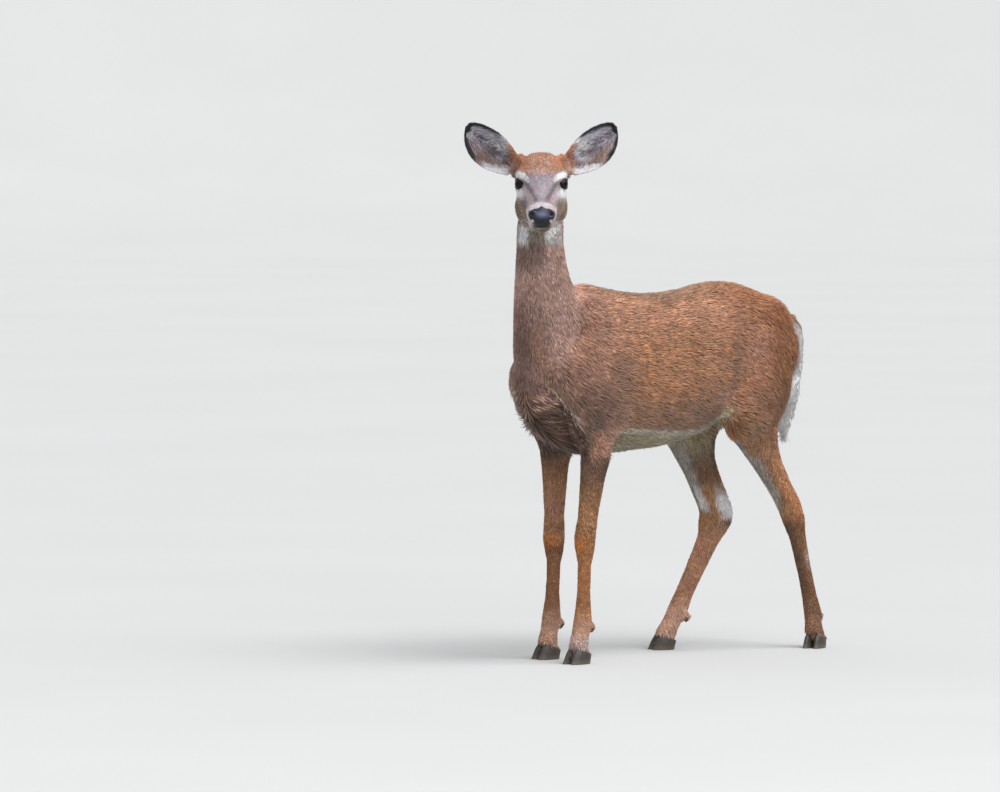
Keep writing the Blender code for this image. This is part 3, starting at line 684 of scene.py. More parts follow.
# ---- Markings, with painted light and shade: sRGB colours of the coat ----
COLOURS = {name: linear(code) for name, code in {
    "flank": "#a6724b", "saddle_highlight": "#bb8667", "spine": "#87684d", "low_flank": "#8a644a",
    "hip": "#a86e46", "thigh": "#8a6243", "shoulder": "#b0816a", "neck": "#cfab9e",
    "neck_side": "#bd9588", "neck_front": "#8f7064", "chest": "#57443a", "ridge": "#dfccbf",
    "white": "#efedee", "cream": "#a79b7e", "upper_leg": "#765744", "leg": "#a77a53",
    "knee": "#c07942", "cannon": "#b1784e", "hind_cannon": "#b7876a", "pastern": "#d0a58f",
    "rust": "#b87a53", "crown_grey": "#bba39c", "face": "#9b8c92", "bridge": "#a3969e",
    "streak": "#5f5255", "tan": "#b0978b", "cheek": "#826755", "jaw_shade": "#857566",
    "black": "#121013", "nose": "#1d1b1e", "nose_highlight": "#666786", "muzzle": "#d3c9d0",
    "ear_hollow": "#56484f", "ear_hair": "#aca7b2", "ear_back": "#8a6a54", "tail": "#a06f4f",
    "dark_lip": "#3a302d", "umber_shade": "#3f2d20", "brown": "#7f5735", "shaded_shin": "#98928a",
    "gaskin_rim_light": "#cf8f66",
}.items()}


def layered(base, g, *layers):
    """A colour under layers of paint, each a colour's name and how much of it lies where."""
    colour = np.tile(COLOURS[base], (len(g.y), 1))
    for name, amount in layers:
        colour = colour + (COLOURS[name] - colour) * np.clip(amount, 0, 1)[:, None]
    return colour


def on_side(g, y, z, reach, rise):
    """A soft oval patch on the deer's side, by its middle and its half sizes."""
    return blot(g.y - y, g.z - z, reach, rise)


def thigh_front(g):
    """1 on the outward front edge of the thigh, below the fold of the flank."""
    edge = ramp(0.05, 0.35, g.out) * ramp(0.170, 0.190, g.y)
    return edge * ramp(0.505, 0.490, g.z) * ramp(0.405, 0.425, g.z)


def trunk_colour(g):
    low = np.interp(g.y, (-0.30, -0.15, 0.05, 0.20, 0.30), (0.45, 0.46, 0.47, 0.52, 0.56))
    elbow = ramp(0.1, 0.5, g.out) * ramp(3 * MM, 10 * MM, g.ridge)
    brisket = ramp(-0.14, -0.20, g.y) * ramp(0.0, -0.3, g.back)
    between_ridges = brisket * ramp(0.585, 0.54, g.z) * ramp(3 * MM, -5 * MM, g.ridge)
    wavy = 6 * MM * (noise(g.points, 14 * MM, 15) - 0.5)
    sunk = np.interp(g.y, BELLY_PLACES, BELLY_HEIGHTS) + wavy - g.z
    belly = ramp(-3 * MM, 4 * MM, sunk) * ramp(-0.10, -0.30, g.top) * ramp(-0.185, -0.125, g.y)
    belly = belly * (1 - ramp(0.172, 0.192, g.y) * ramp(0.034, 0.052, g.aside))
    seat = ramp(0.052, 0.034, g.aside) * ramp(0.30, 0.60, g.back) * ramp(0.30, 0.36, g.y)
    tail_root = ramp(0.655, 0.680, g.z) * ramp(0.030, 0.020, g.aside)
    return layered(
        "flank", g,
        # painted highlight: the upper flank and back paler where the light from above falls
        ("saddle_highlight", ramp(0.64, 0.74, g.z)),
        ("spine", ramp(0.75, 0.97, g.top) * ramp(0.70, 0.74, g.z) * 0.8),
        ("low_flank", ramp(low + 0.10, low + 0.02, g.z) * 0.9),
        ("hip", ramp(0.12, 0.24, g.y) * 0.9),
        ("thigh", ramp(0.22, 0.36, g.y) * ramp(0.68, 0.55, g.z)),
        ("shoulder", ramp(-0.06, -0.20, g.y) * 0.9),
        # painted highlight on the bulge of the thigh
        ("neck_side", 0.34 * on_side(g, 0.240, 0.635, 0.035, 0.055)),
        # painted shade in the fold of the flank in front of the thigh
        ("chest", 0.55 * on_side(g, 0.178, 0.60, 0.012, 0.07)),
        # painted shade over the lower thigh
        ("chest", 0.40 * on_side(g, 0.225, 0.53, 0.045, 0.032)),
        # painted shade in the hollow behind the shoulder
        ("chest", 0.35 * on_side(g, -0.115, 0.585, 0.030, 0.080)),
        # painted shade round the elbow, in the hollow between the shoulder's ridge and the foreleg
        ("umber_shade", elbow * 0.60 * on_side(g, -0.178, 0.540, 0.060, 0.050)),
        ("umber_shade", elbow * 0.65 * on_side(g, -0.230, 0.545, 0.028, 0.036)),
        ("umber_shade", elbow * 0.85 * on_side(g, -0.198, 0.503, 0.026, 0.024)),
        ("chest", 0.65 * on_side(g, -0.190, 0.763, 0.018, 0.020)),
        ("neck_front", brisket * ramp(0.66, 0.58, g.z) * ramp(4 * MM, -8 * MM, g.ridge)),
        ("chest", between_ridges),
        ("neck_front", ramp(-0.225, -0.275, g.y) * ramp(0.70, 0.62, g.z) * 0.8),
        ("ridge", g.crest * brisket * 0.95),
        ("cream", belly),
        ("white", belly * ramp(18 * MM, 6 * MM, sunk) * 0.25),
        ("chest", belly * ramp(0.02, -0.12, g.y) * 0.45),
        ("shoulder", 0.7 * on_side(g, 0.165, 0.535, 0.030, 0.018) * ramp(0.2, 0.5, g.out)),
        ("cream", 0.8 * on_side(g, 0.172, 0.510, 0.016, 0.010)),
        ("thigh", thigh_front(g)),
        # painted shade on the downward-facing underside of the brisket
        ("chest", ramp(-0.12, -0.19, g.y) * ramp(-0.1, -0.5, g.top)),
        ("white", seat * ramp(0.715, 0.690, g.z) * (1 - tail_root)),
    )


def neck_colour(g):
    nape = g.normals @ (-HEAD_FORWARD)
    front = ramp(0.3, 0.7, -g.back)
    wave = 5 * MM * (noise(g.points, 8 * MM, 8) - 0.5)
    bib = ramp(0.866, 0.880, g.z + wave) * ramp(0.05, 0.35, g.face + 0.5 * g.up)
    # the bib is white only at its sides: its middle stays dark as painted shadow of the chin
    pale = 0.06 + 0.88 * ramp(0.012, 0.022, np.abs(g.left + 0.011))
    return layered(
        "neck", g,
        ("neck_side", ramp(0.0, 0.7, g.out) * 0.6),
        ("shoulder", ramp(-0.24, -0.17, g.y) * 0.8),
        ("spine", ramp(0.3, 0.9, nape) * 0.45),
        ("neck_front", ramp(0.10, 0.75, -g.back) * ramp(0.85, 0.70, g.z) * 0.9),
        ("chest", ramp(0.62, 0.52, g.z) * ramp(-0.1, 0.6, -g.back)),
        ("chest", ramp(0.79, 0.85, g.z) * ramp(0.05, 0.60, -g.back) * 0.7),
        ("chest", 0.6 * blot(g.x - 0.020, g.z - 0.660, 0.028, 0.050) * front),
        ("shoulder", 0.6 * blot(g.x - 0.048, g.z - 0.655, 0.014, 0.045) * front),
        # painted shadow of the chin: the bib takes the jaw's shade colour, darkest in its middle, before
        # white goes on its sides
        ("jaw_shade", bib),
        ("chest", bib * bell(g.left + 0.008, 0.020) * 0.35),
        ("white", bib * pale * (1 - 0.25 * ramp(0, 0.02, g.left))),
    )


def face_colour(g):
    side = np.abs(g.left)
    speckle = noise(g.points, 2.2 * MM, 3)
    front = ramp(-0.15, 0.35, g.normals @ HEAD_UP + 0.5 * g.face)
    lilac = ramp(-0.050, -0.030, g.up + 0.25 * (0.030 - side)) * ramp(-0.045, -0.010, g.forward)
    tear_line = np.interp(g.up, (-0.030, -0.022, 0.002, 0.010), (0.010, 0.013, 0.029, 0.033))
    tear = bell(side - tear_line, 0.0055) * ramp(-0.036, -0.020, g.up) * ramp(0.014, 0.002, g.up)
    fore = ramp(0.02, 0.05, g.forward)
    crown = ramp(0.014, 0.030, g.up - 0.05 * side + 9 * MM * (speckle - 0.5))
    crown = crown * ramp(0.060, 0.040, g.forward)
    forelock = crown * ramp(0.034, 0.012, side) * ramp(0.064, 0.040, g.up)
    under = -(g.normals @ HEAD_UP)
    jaw_shade = ramp(-0.058, -0.074, g.up) * ramp(0.15, 0.02, g.forward)
    throat = ramp(0.090, 0.020, g.forward) * ramp(0.2, 0.7, under)
    return layered(
        "cheek", g,
        ("tan", ramp(0.62, 0.80, speckle) * 0.5),
        ("face", lilac * front),
        ("bridge", front * ramp(0.016, 0.006, side) * ramp(0.02, 0.06, g.forward)),
        ("streak", tear * 0.85 * ramp(0.01, 0.03, g.forward)),
        ("streak", 0.7 * blot(side - 0.036, g.up + 0.034, 0.006, 0.008) * fore),
        ("tan", 0.8 * blot(side - 0.024, g.up + 0.026, 0.005, 0.007) * fore),
        ("rust", crown * 0.95),
        ("crown_grey", forelock * ramp(0.40, 0.62, speckle) * 0.85),
        ("streak", crown * ramp(0.60, 0.80, noise(g.points, 2.6 * MM, 9)) * 0.6),
        ("neck", ramp(-0.045, -0.085, g.forward) * 0.8),
        # painted shade on the downward-facing underside of the jaw
        ("jaw_shade", jaw_shade * ramp(-0.10, 0.5, under) * 0.8),
        ("white", throat * ramp(-0.070, -0.082, g.up) * 0.7),
        *muzzle_layers(g, side),
        *eye_layers(g, side),
    )


def muzzle_layers(g, side):
    """The pale band behind the nose, pale lips over a chin painted in shade, and the bare black nose with
    a painted highlight on its middle.
    """
    ring = np.hypot(side / 0.034, (g.up + 0.0556) / 0.0265)
    ring = ring + 0.06 * (noise(g.points, 3 * MM, 11) - 0.5)
    ring = ramp(1.07, 0.93, ring) * ramp(0.100, 0.112, g.forward)
    lip = g.up - mouth_height(g.forward)
    return (
        ("muzzle", ring * 0.95),
        ("tan", ring * ramp(0.008, 0.020, g.left) * 0.3),
        # painted shade on the chin below the mouth and on the lower lip under the upper one
        ("jaw_shade", ramp(0.004, -0.003, lip) * ramp(0.090, 0.110, g.forward)),
        ("umber_shade", ramp(-0.002, -0.008, lip) * ramp(0.105, 0.125, g.forward) * 0.35),
        ("cream", ramp(0.006, 0.002, np.abs(lip)) * ramp(0.105, 0.122, g.forward) * 0.5),
        ("dark_lip", blot(g.forward - 0.112, lip + 0.007, 0.008, 0.004) * 0.7),
        ("black", bell(lip, 0.0014) * ramp(0.080, 0.095, g.forward) * 0.9),
        ("nose", g.nose),
        # painted highlight: the sky's reflection on the wet middle of the nose pad
        ("nose_highlight", g.nose * blot(g.left - 0.002, g.up + 0.0515, 0.0125, 0.0068) * 0.95),
    )


def eye_layers(g, side):
    """A pale ring round the eye, broken by the dark tear line, and the black lid rims."""
    seen = ramp(-0.030, -0.008, g.forward)
    brow = np.interp(side, (0.024, 0.034, 0.044, 0.052, 0.058), (0.009, 0.015, 0.018, 0.013, 0.006))
    brow = ramp(8 * MM, 4 * MM, np.abs(g.up - brow)) * ramp(0.020, 0.034, side) * ramp(0.064, 0.057, side)
    below = ramp(17 * MM, 11 * MM, g.eye_edge) * ramp(-0.10, -0.40, g.eye_height)
    corner = ramp(16 * MM, 7 * MM, g.eye_edge) * ramp(0.24, 0.08, np.abs(g.eye_height + 0.06))
    return (
        ("white", brow * seen * 0.95),
        ("white", below * seen * ramp(-1.2, -0.2, g.eye_sideways) * 0.95),
        ("white", seen * blot(side - 0.047, g.up + 0.018, 0.012, 0.011) * 1.4),
        ("bridge", ramp(7 * MM, 4 * MM, g.eye_edge) * 0.5),
        ("streak", corner * ramp(0.6, 1.0, g.eye_sideways)),
        ("black", ramp(2.4 * MM, 1.5 * MM, g.eye_edge)),
    )


def ear_colour(g):
    """A grey-brown back, a dark hollow with pale hair in it and a black rim and tip."""
    along, across = g.ear_along, g.ear_across
    upper, lower = (1 + across) * g.ear_half, (1 - across) * g.ear_half
    base = ramp(0.52, 0.40, along)
    back = layered(
        "ear_back", g,
        ("rust", ramp(0.40, 0.10, along) * 0.6),
        ("streak", ramp(0.4, 0.9, along) * 0.6),
        ("ear_hair", ramp(7 * MM, 4 * MM, lower) * base),
    )
    strands = noise(g.points, 3 * MM, 13)
    around = 1 - blot(across - 0.05, along - 0.42, 0.45, 0.20)
    band = ramp(17 * MM, 14 * MM, lower) * ramp(0.62, 0.46, along) * ramp(0.12, 0.20, along)
    strip = ramp(10 * MM, 7 * MM, lower) * base
    inside = layered(
        "ear_hollow", g,
        ("ear_hair", around * ramp(0.25, 0.60, strands) * ramp(0.14, 0.24, along) * 0.9),
        ("ear_hair", ramp(26 * MM, 15 * MM, upper) * ramp(0.16, 0.26, along) * 0.8),
        ("white", ramp(0.25, 0.55, strands) * blot(across + 0.48, along - 0.34, 0.30, 0.18)),
        ("cheek", blot(across - 0.62, along - 0.52, 0.26, 0.22) * 0.9),
        ("cheek", band * 0.85),
        ("ear_hair", strip),
        ("white", strip * ramp(0.45, 0.34, along) * (0.3 + 0.7 * strands)),
        ("rust", ramp(0.20, 0.08, along + 0.10 * across) * 0.8),
        ("ear_hair", blot(across - 0.25, along - 0.20, 0.25, 0.06) * 0.9),
    )
    colour = back + (inside - back) * g.ear_inside[:, None]
    rim = ramp(0.875, 0.910, along - 0.03 * across)
    rim = np.maximum(rim, ramp(7.5 * MM, 5.5 * MM, upper) * ramp(0.26, 0.42, along))
    rim = np.maximum(rim, ramp(9.5 * MM, 6.5 * MM, lower) * ramp(0.50, 0.64, along))
    return colour + (COLOURS["black"] - colour) * (rim * 0.95)[:, None]


def tail_colour(g):
    stripe = ramp(0.022, 0.015, g.aside) * ramp(0.50, 0.56, g.z)
    stripe = stripe * ramp(0.45, 0.80, g.back + 1.3 * np.maximum(g.top, 0))
    fringe = ramp(0.55, 0.85, g.back) * ramp(0.60, 0.64, g.z)
    root = ramp(0.693, 0.706, g.z)
    return layered("white", g, ("tail", np.maximum(np.maximum(stripe, fringe), root)))


def foreleg_colour(g):
    near, far = g.x > 0, g.x <= 0
    knee = np.where(near, KNEE[1], KNEE[-1])
    return layered(
        "leg", g,
        ("upper_leg", ramp(0.33, 0.43, g.z + 0.02 * near - 0.02 * far) * 0.95),
        # painted shade on the inward face of the near foreleg
        ("upper_leg", near * ramp(0.2, 0.8, -g.out) * 0.35),
        # painted light: the far forearm paler where light bounces up from the floor
        ("shoulder", far * bell(g.z - 0.325, 0.045) * 0.8),
        ("cannon", ramp(knee - 0.01, knee - 0.04, g.z)),
        ("knee", bell(g.z - knee + 0.005, 0.022) * ramp(-0.3, 0.6, -g.back)),
        ("upper_leg", bell(g.z - knee - 0.028, 0.006) * 0.35),
        # painted shade on the far foreleg below the knee
        ("umber_shade", far * bell(g.z - 0.228, 0.014) * 0.5),
        ("upper_leg", far * ramp(0.24, 0.21, g.z) * 0.5),
        # painted shade below the near elbow
        ("chest", near * ramp(0.36, 0.43, g.z) * 0.25),
        *foot_layers(g),
    )


def hindleg_colour(g):
    near = g.x > 0
    hock = np.where(near, HOCK[1], HOCK[-1])
    rear = ramp(-0.10, 0.25, g.back) * ramp(0.3, 0.6, g.out)
    inner = ramp(-0.05, -0.55, g.out) * ramp(0.37, 0.46, g.z)
    outer = near * ramp(hock + 0.01, hock - 0.03, g.z)
    shaded_shin = ramp(0.22, 0.48, -g.back - 0.20 * ramp(0.1, -0.3, g.out))
    shaded_shin = shaded_shin * ramp(hock + 0.005, hock + 0.03, g.z)
    inward = ramp(0.10, 0.50, -g.out)
    behind = ramp(-0.35, 0.05, g.back)
    gland = bell(g.z - 0.19, 0.018) * ramp(0.3, 0.8, g.out) * ramp(-0.1, 0.3, g.back)
    return layered(
        "thigh", g,
        ("leg", ramp(0.42, 0.34, g.z)),
        ("hip", ramp(0.25, 0.7, g.back) * ramp(0.22, 0.30, g.z) * 0.9),
        ("hind_cannon", ramp(hock, hock - 0.05, g.z)),
        # painted rim light on the outward back edge of the gaskin
        ("gaskin_rim_light", rear * ramp(0.27, 0.31, g.z) * ramp(0.43, 0.39, g.z) * 0.75),
        ("hind_cannon", near * ramp(0.50, 0.45, g.z) * ramp(0.34, 0.38, g.z) * 0.4),
        # painted shade on the inward face of the hind leg, between the legs
        ("chest", ramp(0.1, 0.7, -g.out) * ramp(hock + 0.04, hock + 0.12, g.z) * 0.7),
        ("cream", inner * ramp(0.7, -0.1, g.back) * 0.85),
        # painted shade on the near hind leg below the hock: browner, darkest on its front
        ("brown", outer * 0.75),
        ("umber_shade", outer * ramp(-0.4, 0.6, -g.back) * 0.45),
        # painted shade: a grey strip down the front of the hind leg above the hock
        ("shaded_shin", shaded_shin * 0.9 * (1 - thigh_front(g))),
        ("white", shaded_shin * ramp(hock + 0.085, hock + 0.05, g.z) * ramp(0.0, -0.4, g.out) * 0.6),
        ("white", bell(g.z - hock - 0.022, 0.028) * inward * behind * 1.6),
        ("upper_leg", bell(g.z - hock + 0.014, 0.008) * inward * behind),
        ("white", gland * 0.2),
        *foot_layers(g),
        # painted shade on the near hind pastern
        ("brown", near * ramp(0.030, 0.040, g.z) * ramp(0.16, 0.10, g.z) * 0.75),
    )


def foot_layers(g):
    """Pale pasterns, paler still on the near forefoot as painted light, dark hair where it meets the
    horn.
    """
    near_fore = (g.x > 0) & (g.y < 0)
    return (
        ("pastern", ramp(0.13, 0.06, g.z) * 0.9),
        # painted light: the near forefoot's pastern paler where it is lit
        ("muzzle", near_fore * ramp(0.07, 0.04, g.z) * 0.4),
        ("black", ramp(0.032, 0.026, g.z) * 0.6),
        ("upper_leg", ramp(0.4, 0.9, g.back) * ramp(0.09, 0.07, g.z) * 0.5),
    )


MARKINGS = {
    "trunk": trunk_colour, "neck": neck_colour, "head": face_colour, "ear": ear_colour,
    "tail": tail_colour, "foreleg": foreleg_colour, "hindleg": hindleg_colour,
}


def markings(g):
    """The coat's linear colour at each point, the same for the skin and for what grows on it."""
    total = sum(g.share[part][:, None] * colour(g) for part, colour in MARKINGS.items())
    total = total / np.maximum(sum(g.share.values()), 1e-6)[:, None]
    cloud = 0.90 + 0.20 * noise(g.points, 32 * MM, 1)
    return total * cloud[:, None]


# ---- The lie of the hair ----
LEFT, REAR, DOWN = np.array((1.0, 0, 0)), np.array((0, 1.0, 0)), np.array((0, 0, -1.0))


def blended(first, second, share):
    """Directions that turn from the first to the second as the share goes from 0 to 1."""
    return first * (1 - share[:, None]) + second * share[:, None]


def level(flow, normals):
    """Unit directions with their part off the skin taken away."""
    return unit(flow - normals * np.sum(flow * normals, axis=1)[:, None])


def trunk_flow(g):
    """To the rear along the flank, down at the haunch and shoulder, outward at the brisket."""
    outward = g.side[:, None] * LEFT
    flow = blended(unit(REAR + 0.28 * DOWN), unit(0.45 * REAR + DOWN), ramp(0.16, 0.36, g.y))
    flow = blended(flow, unit(0.7 * REAR + DOWN), ramp(-0.10, -0.28, g.y))
    brisket = ramp(-0.18, -0.26, g.y) * ramp(0.62, 0.54, g.z) * ramp(0, -5 * MM, g.ridge)
    flow = blended(flow, unit(outward + 0.35 * DOWN), brisket)
    along_ridge = 0.224 * outward + 0.525 * REAR + 0.82 * DOWN
    return np.where((g.crest > 0.05)[:, None], along_ridge, flow)


def lie(g, edges):
    """Unit directions in which the hair lies, along the skin."""
    thigh = ramp(0.34, 0.50, g.z)[:, None]
    nose_tip = HEAD_ORIGIN + HEAD_FORWARD * 0.175 - HEAD_UP * 0.055
    flow = trunk_flow(g) * g.share["trunk"][:, None]
    flow += unit(DOWN + 0.30 * REAR) * g.share["neck"][:, None]
    flow += DOWN * g.share["tail"][:, None]
    flow += unit(DOWN + 0.12 * REAR) * g.share["foreleg"][:, None]
    flow += unit(DOWN + (0.1 + 0.4 * thigh) * REAR) * g.share["hindleg"][:, None]
    flow += unit(unit(g.points - nose_tip) - 0.9 * HEAD_FORWARD) * g.share["head"][:, None]
    for side, ear in EARS.items():
        inward = -0.9 * np.clip(g.ear_across, -1, 1) * g.ear_inside
        fan = ear.along + ear.lower * (inward + 0.35 * g.ear_across * (1 - g.ear_inside))[:, None]
        flow += unit(fan) * (g.share["ear"] * (g.left * side > 0))[:, None]
    for _ in range(12):
        flow = relaxed(level(flow, g.normals), edges, 1)
    return level(flow, g.normals)


# Length, width and height over the skin of the tufts in each part
TUFTS = {
    "trunk": (21 * MM, 2.6 * MM, 5.0 * MM), "neck": (17 * MM, 2.1 * MM, 4.2 * MM),
    "head": (6.2 * MM, 1.15 * MM, 1.5 * MM), "ear": (7.0 * MM, 1.1 * MM, 1.0 * MM),
    "tail": (25 * MM, 2.4 * MM, 2.2 * MM), "foreleg": (12 * MM, 1.8 * MM, 2.2 * MM),
    "hindleg": (14 * MM, 2.0 * MM, 2.6 * MM),
}


def tuft_sizes(g):
    """Length, width and height of a tuft at each point."""
    trunk, head, ear, tail = (g.share[part] for part in ("trunk", "head", "ear", "tail"))
    low = ramp(0.34, 0.20, g.z) * g.legs
    fringe = ramp(0.052, 0.040, g.z) * g.legs
    belly = ramp(-0.4, -0.8, g.top) * ramp(0.17, 0.12, g.y) * trunk
    brisket = ramp(-0.20, -0.30, g.y) * ramp(0.58, 0.48, g.z) * (trunk + g.share["neck"])
    hem = trunk * ramp(0.500, 0.455, g.z) * ramp(-0.10, -0.14, g.y) * ramp(0.1, 0.4, g.out)
    between_ridges = (trunk > 0.3) & (g.ridge < 0) & (g.y < -0.17) & (g.z < 0.60)
    front = head * ramp(0.03, 0.10, g.forward)
    lids = head * ramp(14 * MM, 4 * MM, g.eye_edge)
    lashes = head * bell(g.eye_edge - 2.5 * MM, 0.7 * MM) * ramp(0.1, 0.35, g.eye_height)
    crown = head * ramp(-0.02, -0.05, g.forward)
    edge = (1 - np.abs(g.ear_across)) * g.ear_half
    shaggy = ear * g.ear_inside * ramp(0.25, 0.45, np.abs(g.ear_across + 0.1))
    shaggy = shaggy * ramp(4 * MM, 8 * MM, edge) * ramp(0.90, 0.84, g.ear_along)
    rim = ear * np.maximum(ramp(7 * MM, 3 * MM, edge), ramp(0.86, 0.94, g.ear_along))
    tail_root = tail * ramp(0.62, 0.68, g.z)
    tassel = tail * ramp(0.50, 0.43, g.z)

    shares = np.stack([g.share[part] for part in PARTS], axis=1)
    length, width, height = (shares @ np.array([TUFTS[part] for part in PARTS])).T / shares.sum(axis=1)
    for place, more in ((low, -0.42), (fringe, 0.7), (belly, 0.9), (brisket, 0.8), (hem, -0.45)):
        length = length * (1 + more * place)
    most = np.maximum(-0.9 * g.ridge, 9 * MM)
    length = np.where(between_ridges, np.minimum(length, most), length)
    for place, more in ((front, -0.35), (lids, -0.55), (crown, 0.5)):
        length = length * (1 + more * place)
    length = length + 4 * MM * lashes
    for place, more in ((shaggy, 1.3), (rim, -0.55), (tail_root, -0.35), (tassel, 0.2)):
        length = length * (1 + more * place)
    for place, more in ((low, -0.28), (front, -0.25), (lashes, -0.5)):
        width = width * (1 + more * place)
    for place, more in ((low, -0.25), (fringe, 0.9), (brisket, -0.45), (hem, -0.40)):
        height = height * (1 + more * place)
    height = height * (1 + 0.5 * g.crest * trunk) * (1 - 0.5 * np.maximum(front, lids))
    return length, width, (height + 2.5 * MM * lashes) * (1 + 2.2 * shaggy)


# ---- The coat ----
MOST_TUFTS = 24_800  # eight triangles each
SOWING_CELL = 12 * MM  # faces are sown cell by cell, which spreads the roots evenly
PATCH = 0.003  # width of a tuft's patch on its coat's map
TUFT_SHADES = (0.62, 0.62, 0.96, 0.96, 1.06, 1.34)  # from the two root corners to the tip
ROOT_DEPTH = 0.9 * MM  # of a tuft's root under the skin
PALEST = 0.93

# Tufts per square centimetre
DENSITY = {
    "trunk": 9.5, "neck": 17, "head": 36, "ear": 36, "tail": 26, "foreleg": 15, "hindleg": 12,
}
COATS = {
    "coat_trunk_left": ("trunk", 1), "coat_trunk_right": ("trunk", -1), "coat_neck": ("neck", 0),
    "coat_head": ("head", 0), "coat_ears": ("ear", 0), "coat_tail": ("tail", 0),
    "coat_forelegs": ("foreleg", 0), "coat_hindlegs": ("hindleg", 0),
}


class Skin:
    """The skin's arrays: places, normals, faces, parts and the lie of the hair."""

    def __init__(self, mesh):
        self.points, self.normals = points_of(mesh), normals_of(mesh)
        self.faces, edges = triangles_of(mesh), edges_of(mesh)
        self.shares = part_shares(self.points, edges)
        self.ground = Ground(self.points, self.normals, self.shares)
        self.flow = lie(self.ground, edges)
        self.covered = covered_by_horn(self.points)
        corners = self.points[self.faces]
        turned = np.cross(corners[:, 1] - corners[:, 0], corners[:, 2] - corners[:, 0])
        self.area = np.linalg.norm(turned, axis=1) / 2
        self.part = self.shares[self.faces].mean(axis=1).argmax(axis=1)
        self.side = np.where(corners[:, :, 0].mean(axis=1) > MIDLINE, 1, -1)


def covered_by_horn(points):
    """1 where a claw hides the skin."""
    owner, height = nearest_node(points)
    horn = np.array([kind in ("hoof", "dewclaw") for kind in KINDS])[owner]
    for number, node in enumerate(NODES):
        if node.startswith("hoof"):
            low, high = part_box(node)
            mine = (owner == number) & (points[:, 2] > 0.5 * high[2])
            heel = ramp((low[1] + high[1]) / 2 - 8 * MM, high[1], points[:, 1])
            horn &= ~(mine & (points[:, 2] > high[2] * (1 - HEEL_DROP * heel) - 1.5 * MM))
    return (horn & (height < -1.5 * MM)).astype(float)


def bare(g):
    """1 where no hair grows: the nose, the lips' edge, the lids' rims."""
    lips = ramp(0.0022, 0.0012, np.abs(g.up - mouth_height(g.forward))) * ramp(0.080, 0.095, g.forward)
    lids = ramp(1.9 * MM, 1.2 * MM, g.eye_edge)
    return np.clip(g.nose + (lips + lids) * g.share["head"], 0, 1)


def unwrapped(points, faces):
    """A map of part of the skin, three corners a face, that fills the square."""
    used, index = np.unique(faces, return_inverse=True)
    mesh = bpy.data.meshes.new("unwrap")
    mesh.from_pydata(points[used], [], index.reshape(-1, 3))
    obj = link("unwrap", mesh)
    open_mesh(obj)
    bpy.ops.uv.smart_project(angle_limit=radians(66), island_margin=0.006, scale_to_bounds=True)
    close_mesh()
    corners = rows_of(mesh.uv_layers.active.uv, "vector", 2)
    bpy.data.objects.remove(obj)
    bpy.data.meshes.remove(mesh)
    return corners.reshape(-1, 3, 2)


def crowding(g):
    """How many more tufts grow in a place than its part has on the whole."""
    more = 1 + 0.9 * ramp(0.34, 0.20, g.z) * g.legs
    more = more + 0.7 * g.share["head"] * ramp(0.03, 0.10, g.forward)
    more = more + 0.8 * g.share["head"] * ramp(20 * MM, 6 * MM, g.eye_edge)
    return more * (1 - bare(g))


def sown(skin, part, side, rng):
    """Roots spread over a part of the skin: what is known there, the hair's lie and the map."""
    chosen = (skin.part == PARTS.index(part)) & (skin.covered[skin.faces].mean(axis=1) < 0.5)
    if side:
        chosen &= skin.side == side
    faces = np.flatnonzero(chosen)
    centre = skin.points[skin.faces[faces]].mean(axis=1)
    cell = np.floor(centre / SOWING_CELL).astype(np.int64)
    order = np.lexsort((centre[:, 0], cell[:, 0], cell[:, 1], cell[:, 2]))
    faces, centre = faces[order], centre[order]
    first = skin.faces[faces, 0]
    place = Ground(centre, skin.normals[first], skin.shares[first])
    weight = skin.area[faces] * 1e4 * DENSITY[part] * crowding(place)
    count = int(min(weight.sum(), MOST_TUFTS))
    total = np.cumsum(weight) / weight.sum()
    picked = np.searchsorted(total, (np.arange(count) + rng.random(count)) / count)
    picked = np.minimum(picked, len(faces) - 1)
    a, b = rng.random(count), rng.random(count)
    a, b = np.where(a + b > 1, 1 - a, a), np.where(a + b > 1, 1 - b, b)
    shares = np.stack([1 - a - b, a, b], axis=1)[:, :, None]
    corners = skin.faces[faces[picked]]
    points, normals, parts, flow = (
        (values[corners] * shares).sum(axis=1)
        for values in (skin.points, skin.normals, skin.shares, skin.flow)
    )
    maps = unwrapped(skin.points, skin.faces[faces])[picked]
    return Ground(points, unit(normals), parts), flow, (maps * shares).sum(axis=1)


# A tuft's corners are two at its root, two at its widest, the ridge over those and its tip
TUFT_FACES = np.array([
    (0, 4, 2), (0, 1, 4), (1, 3, 4), (2, 4, 5), (4, 3, 5), (3, 2, 5), (0, 2, 3), (0, 3, 1),
])
TUFT_MAP = np.array([(-0.30, -0.5), (0.30, -0.5), (-0.5, 0.0), (0.5, 0.0), (0.0, 0.05), (0.0, 0.5)])


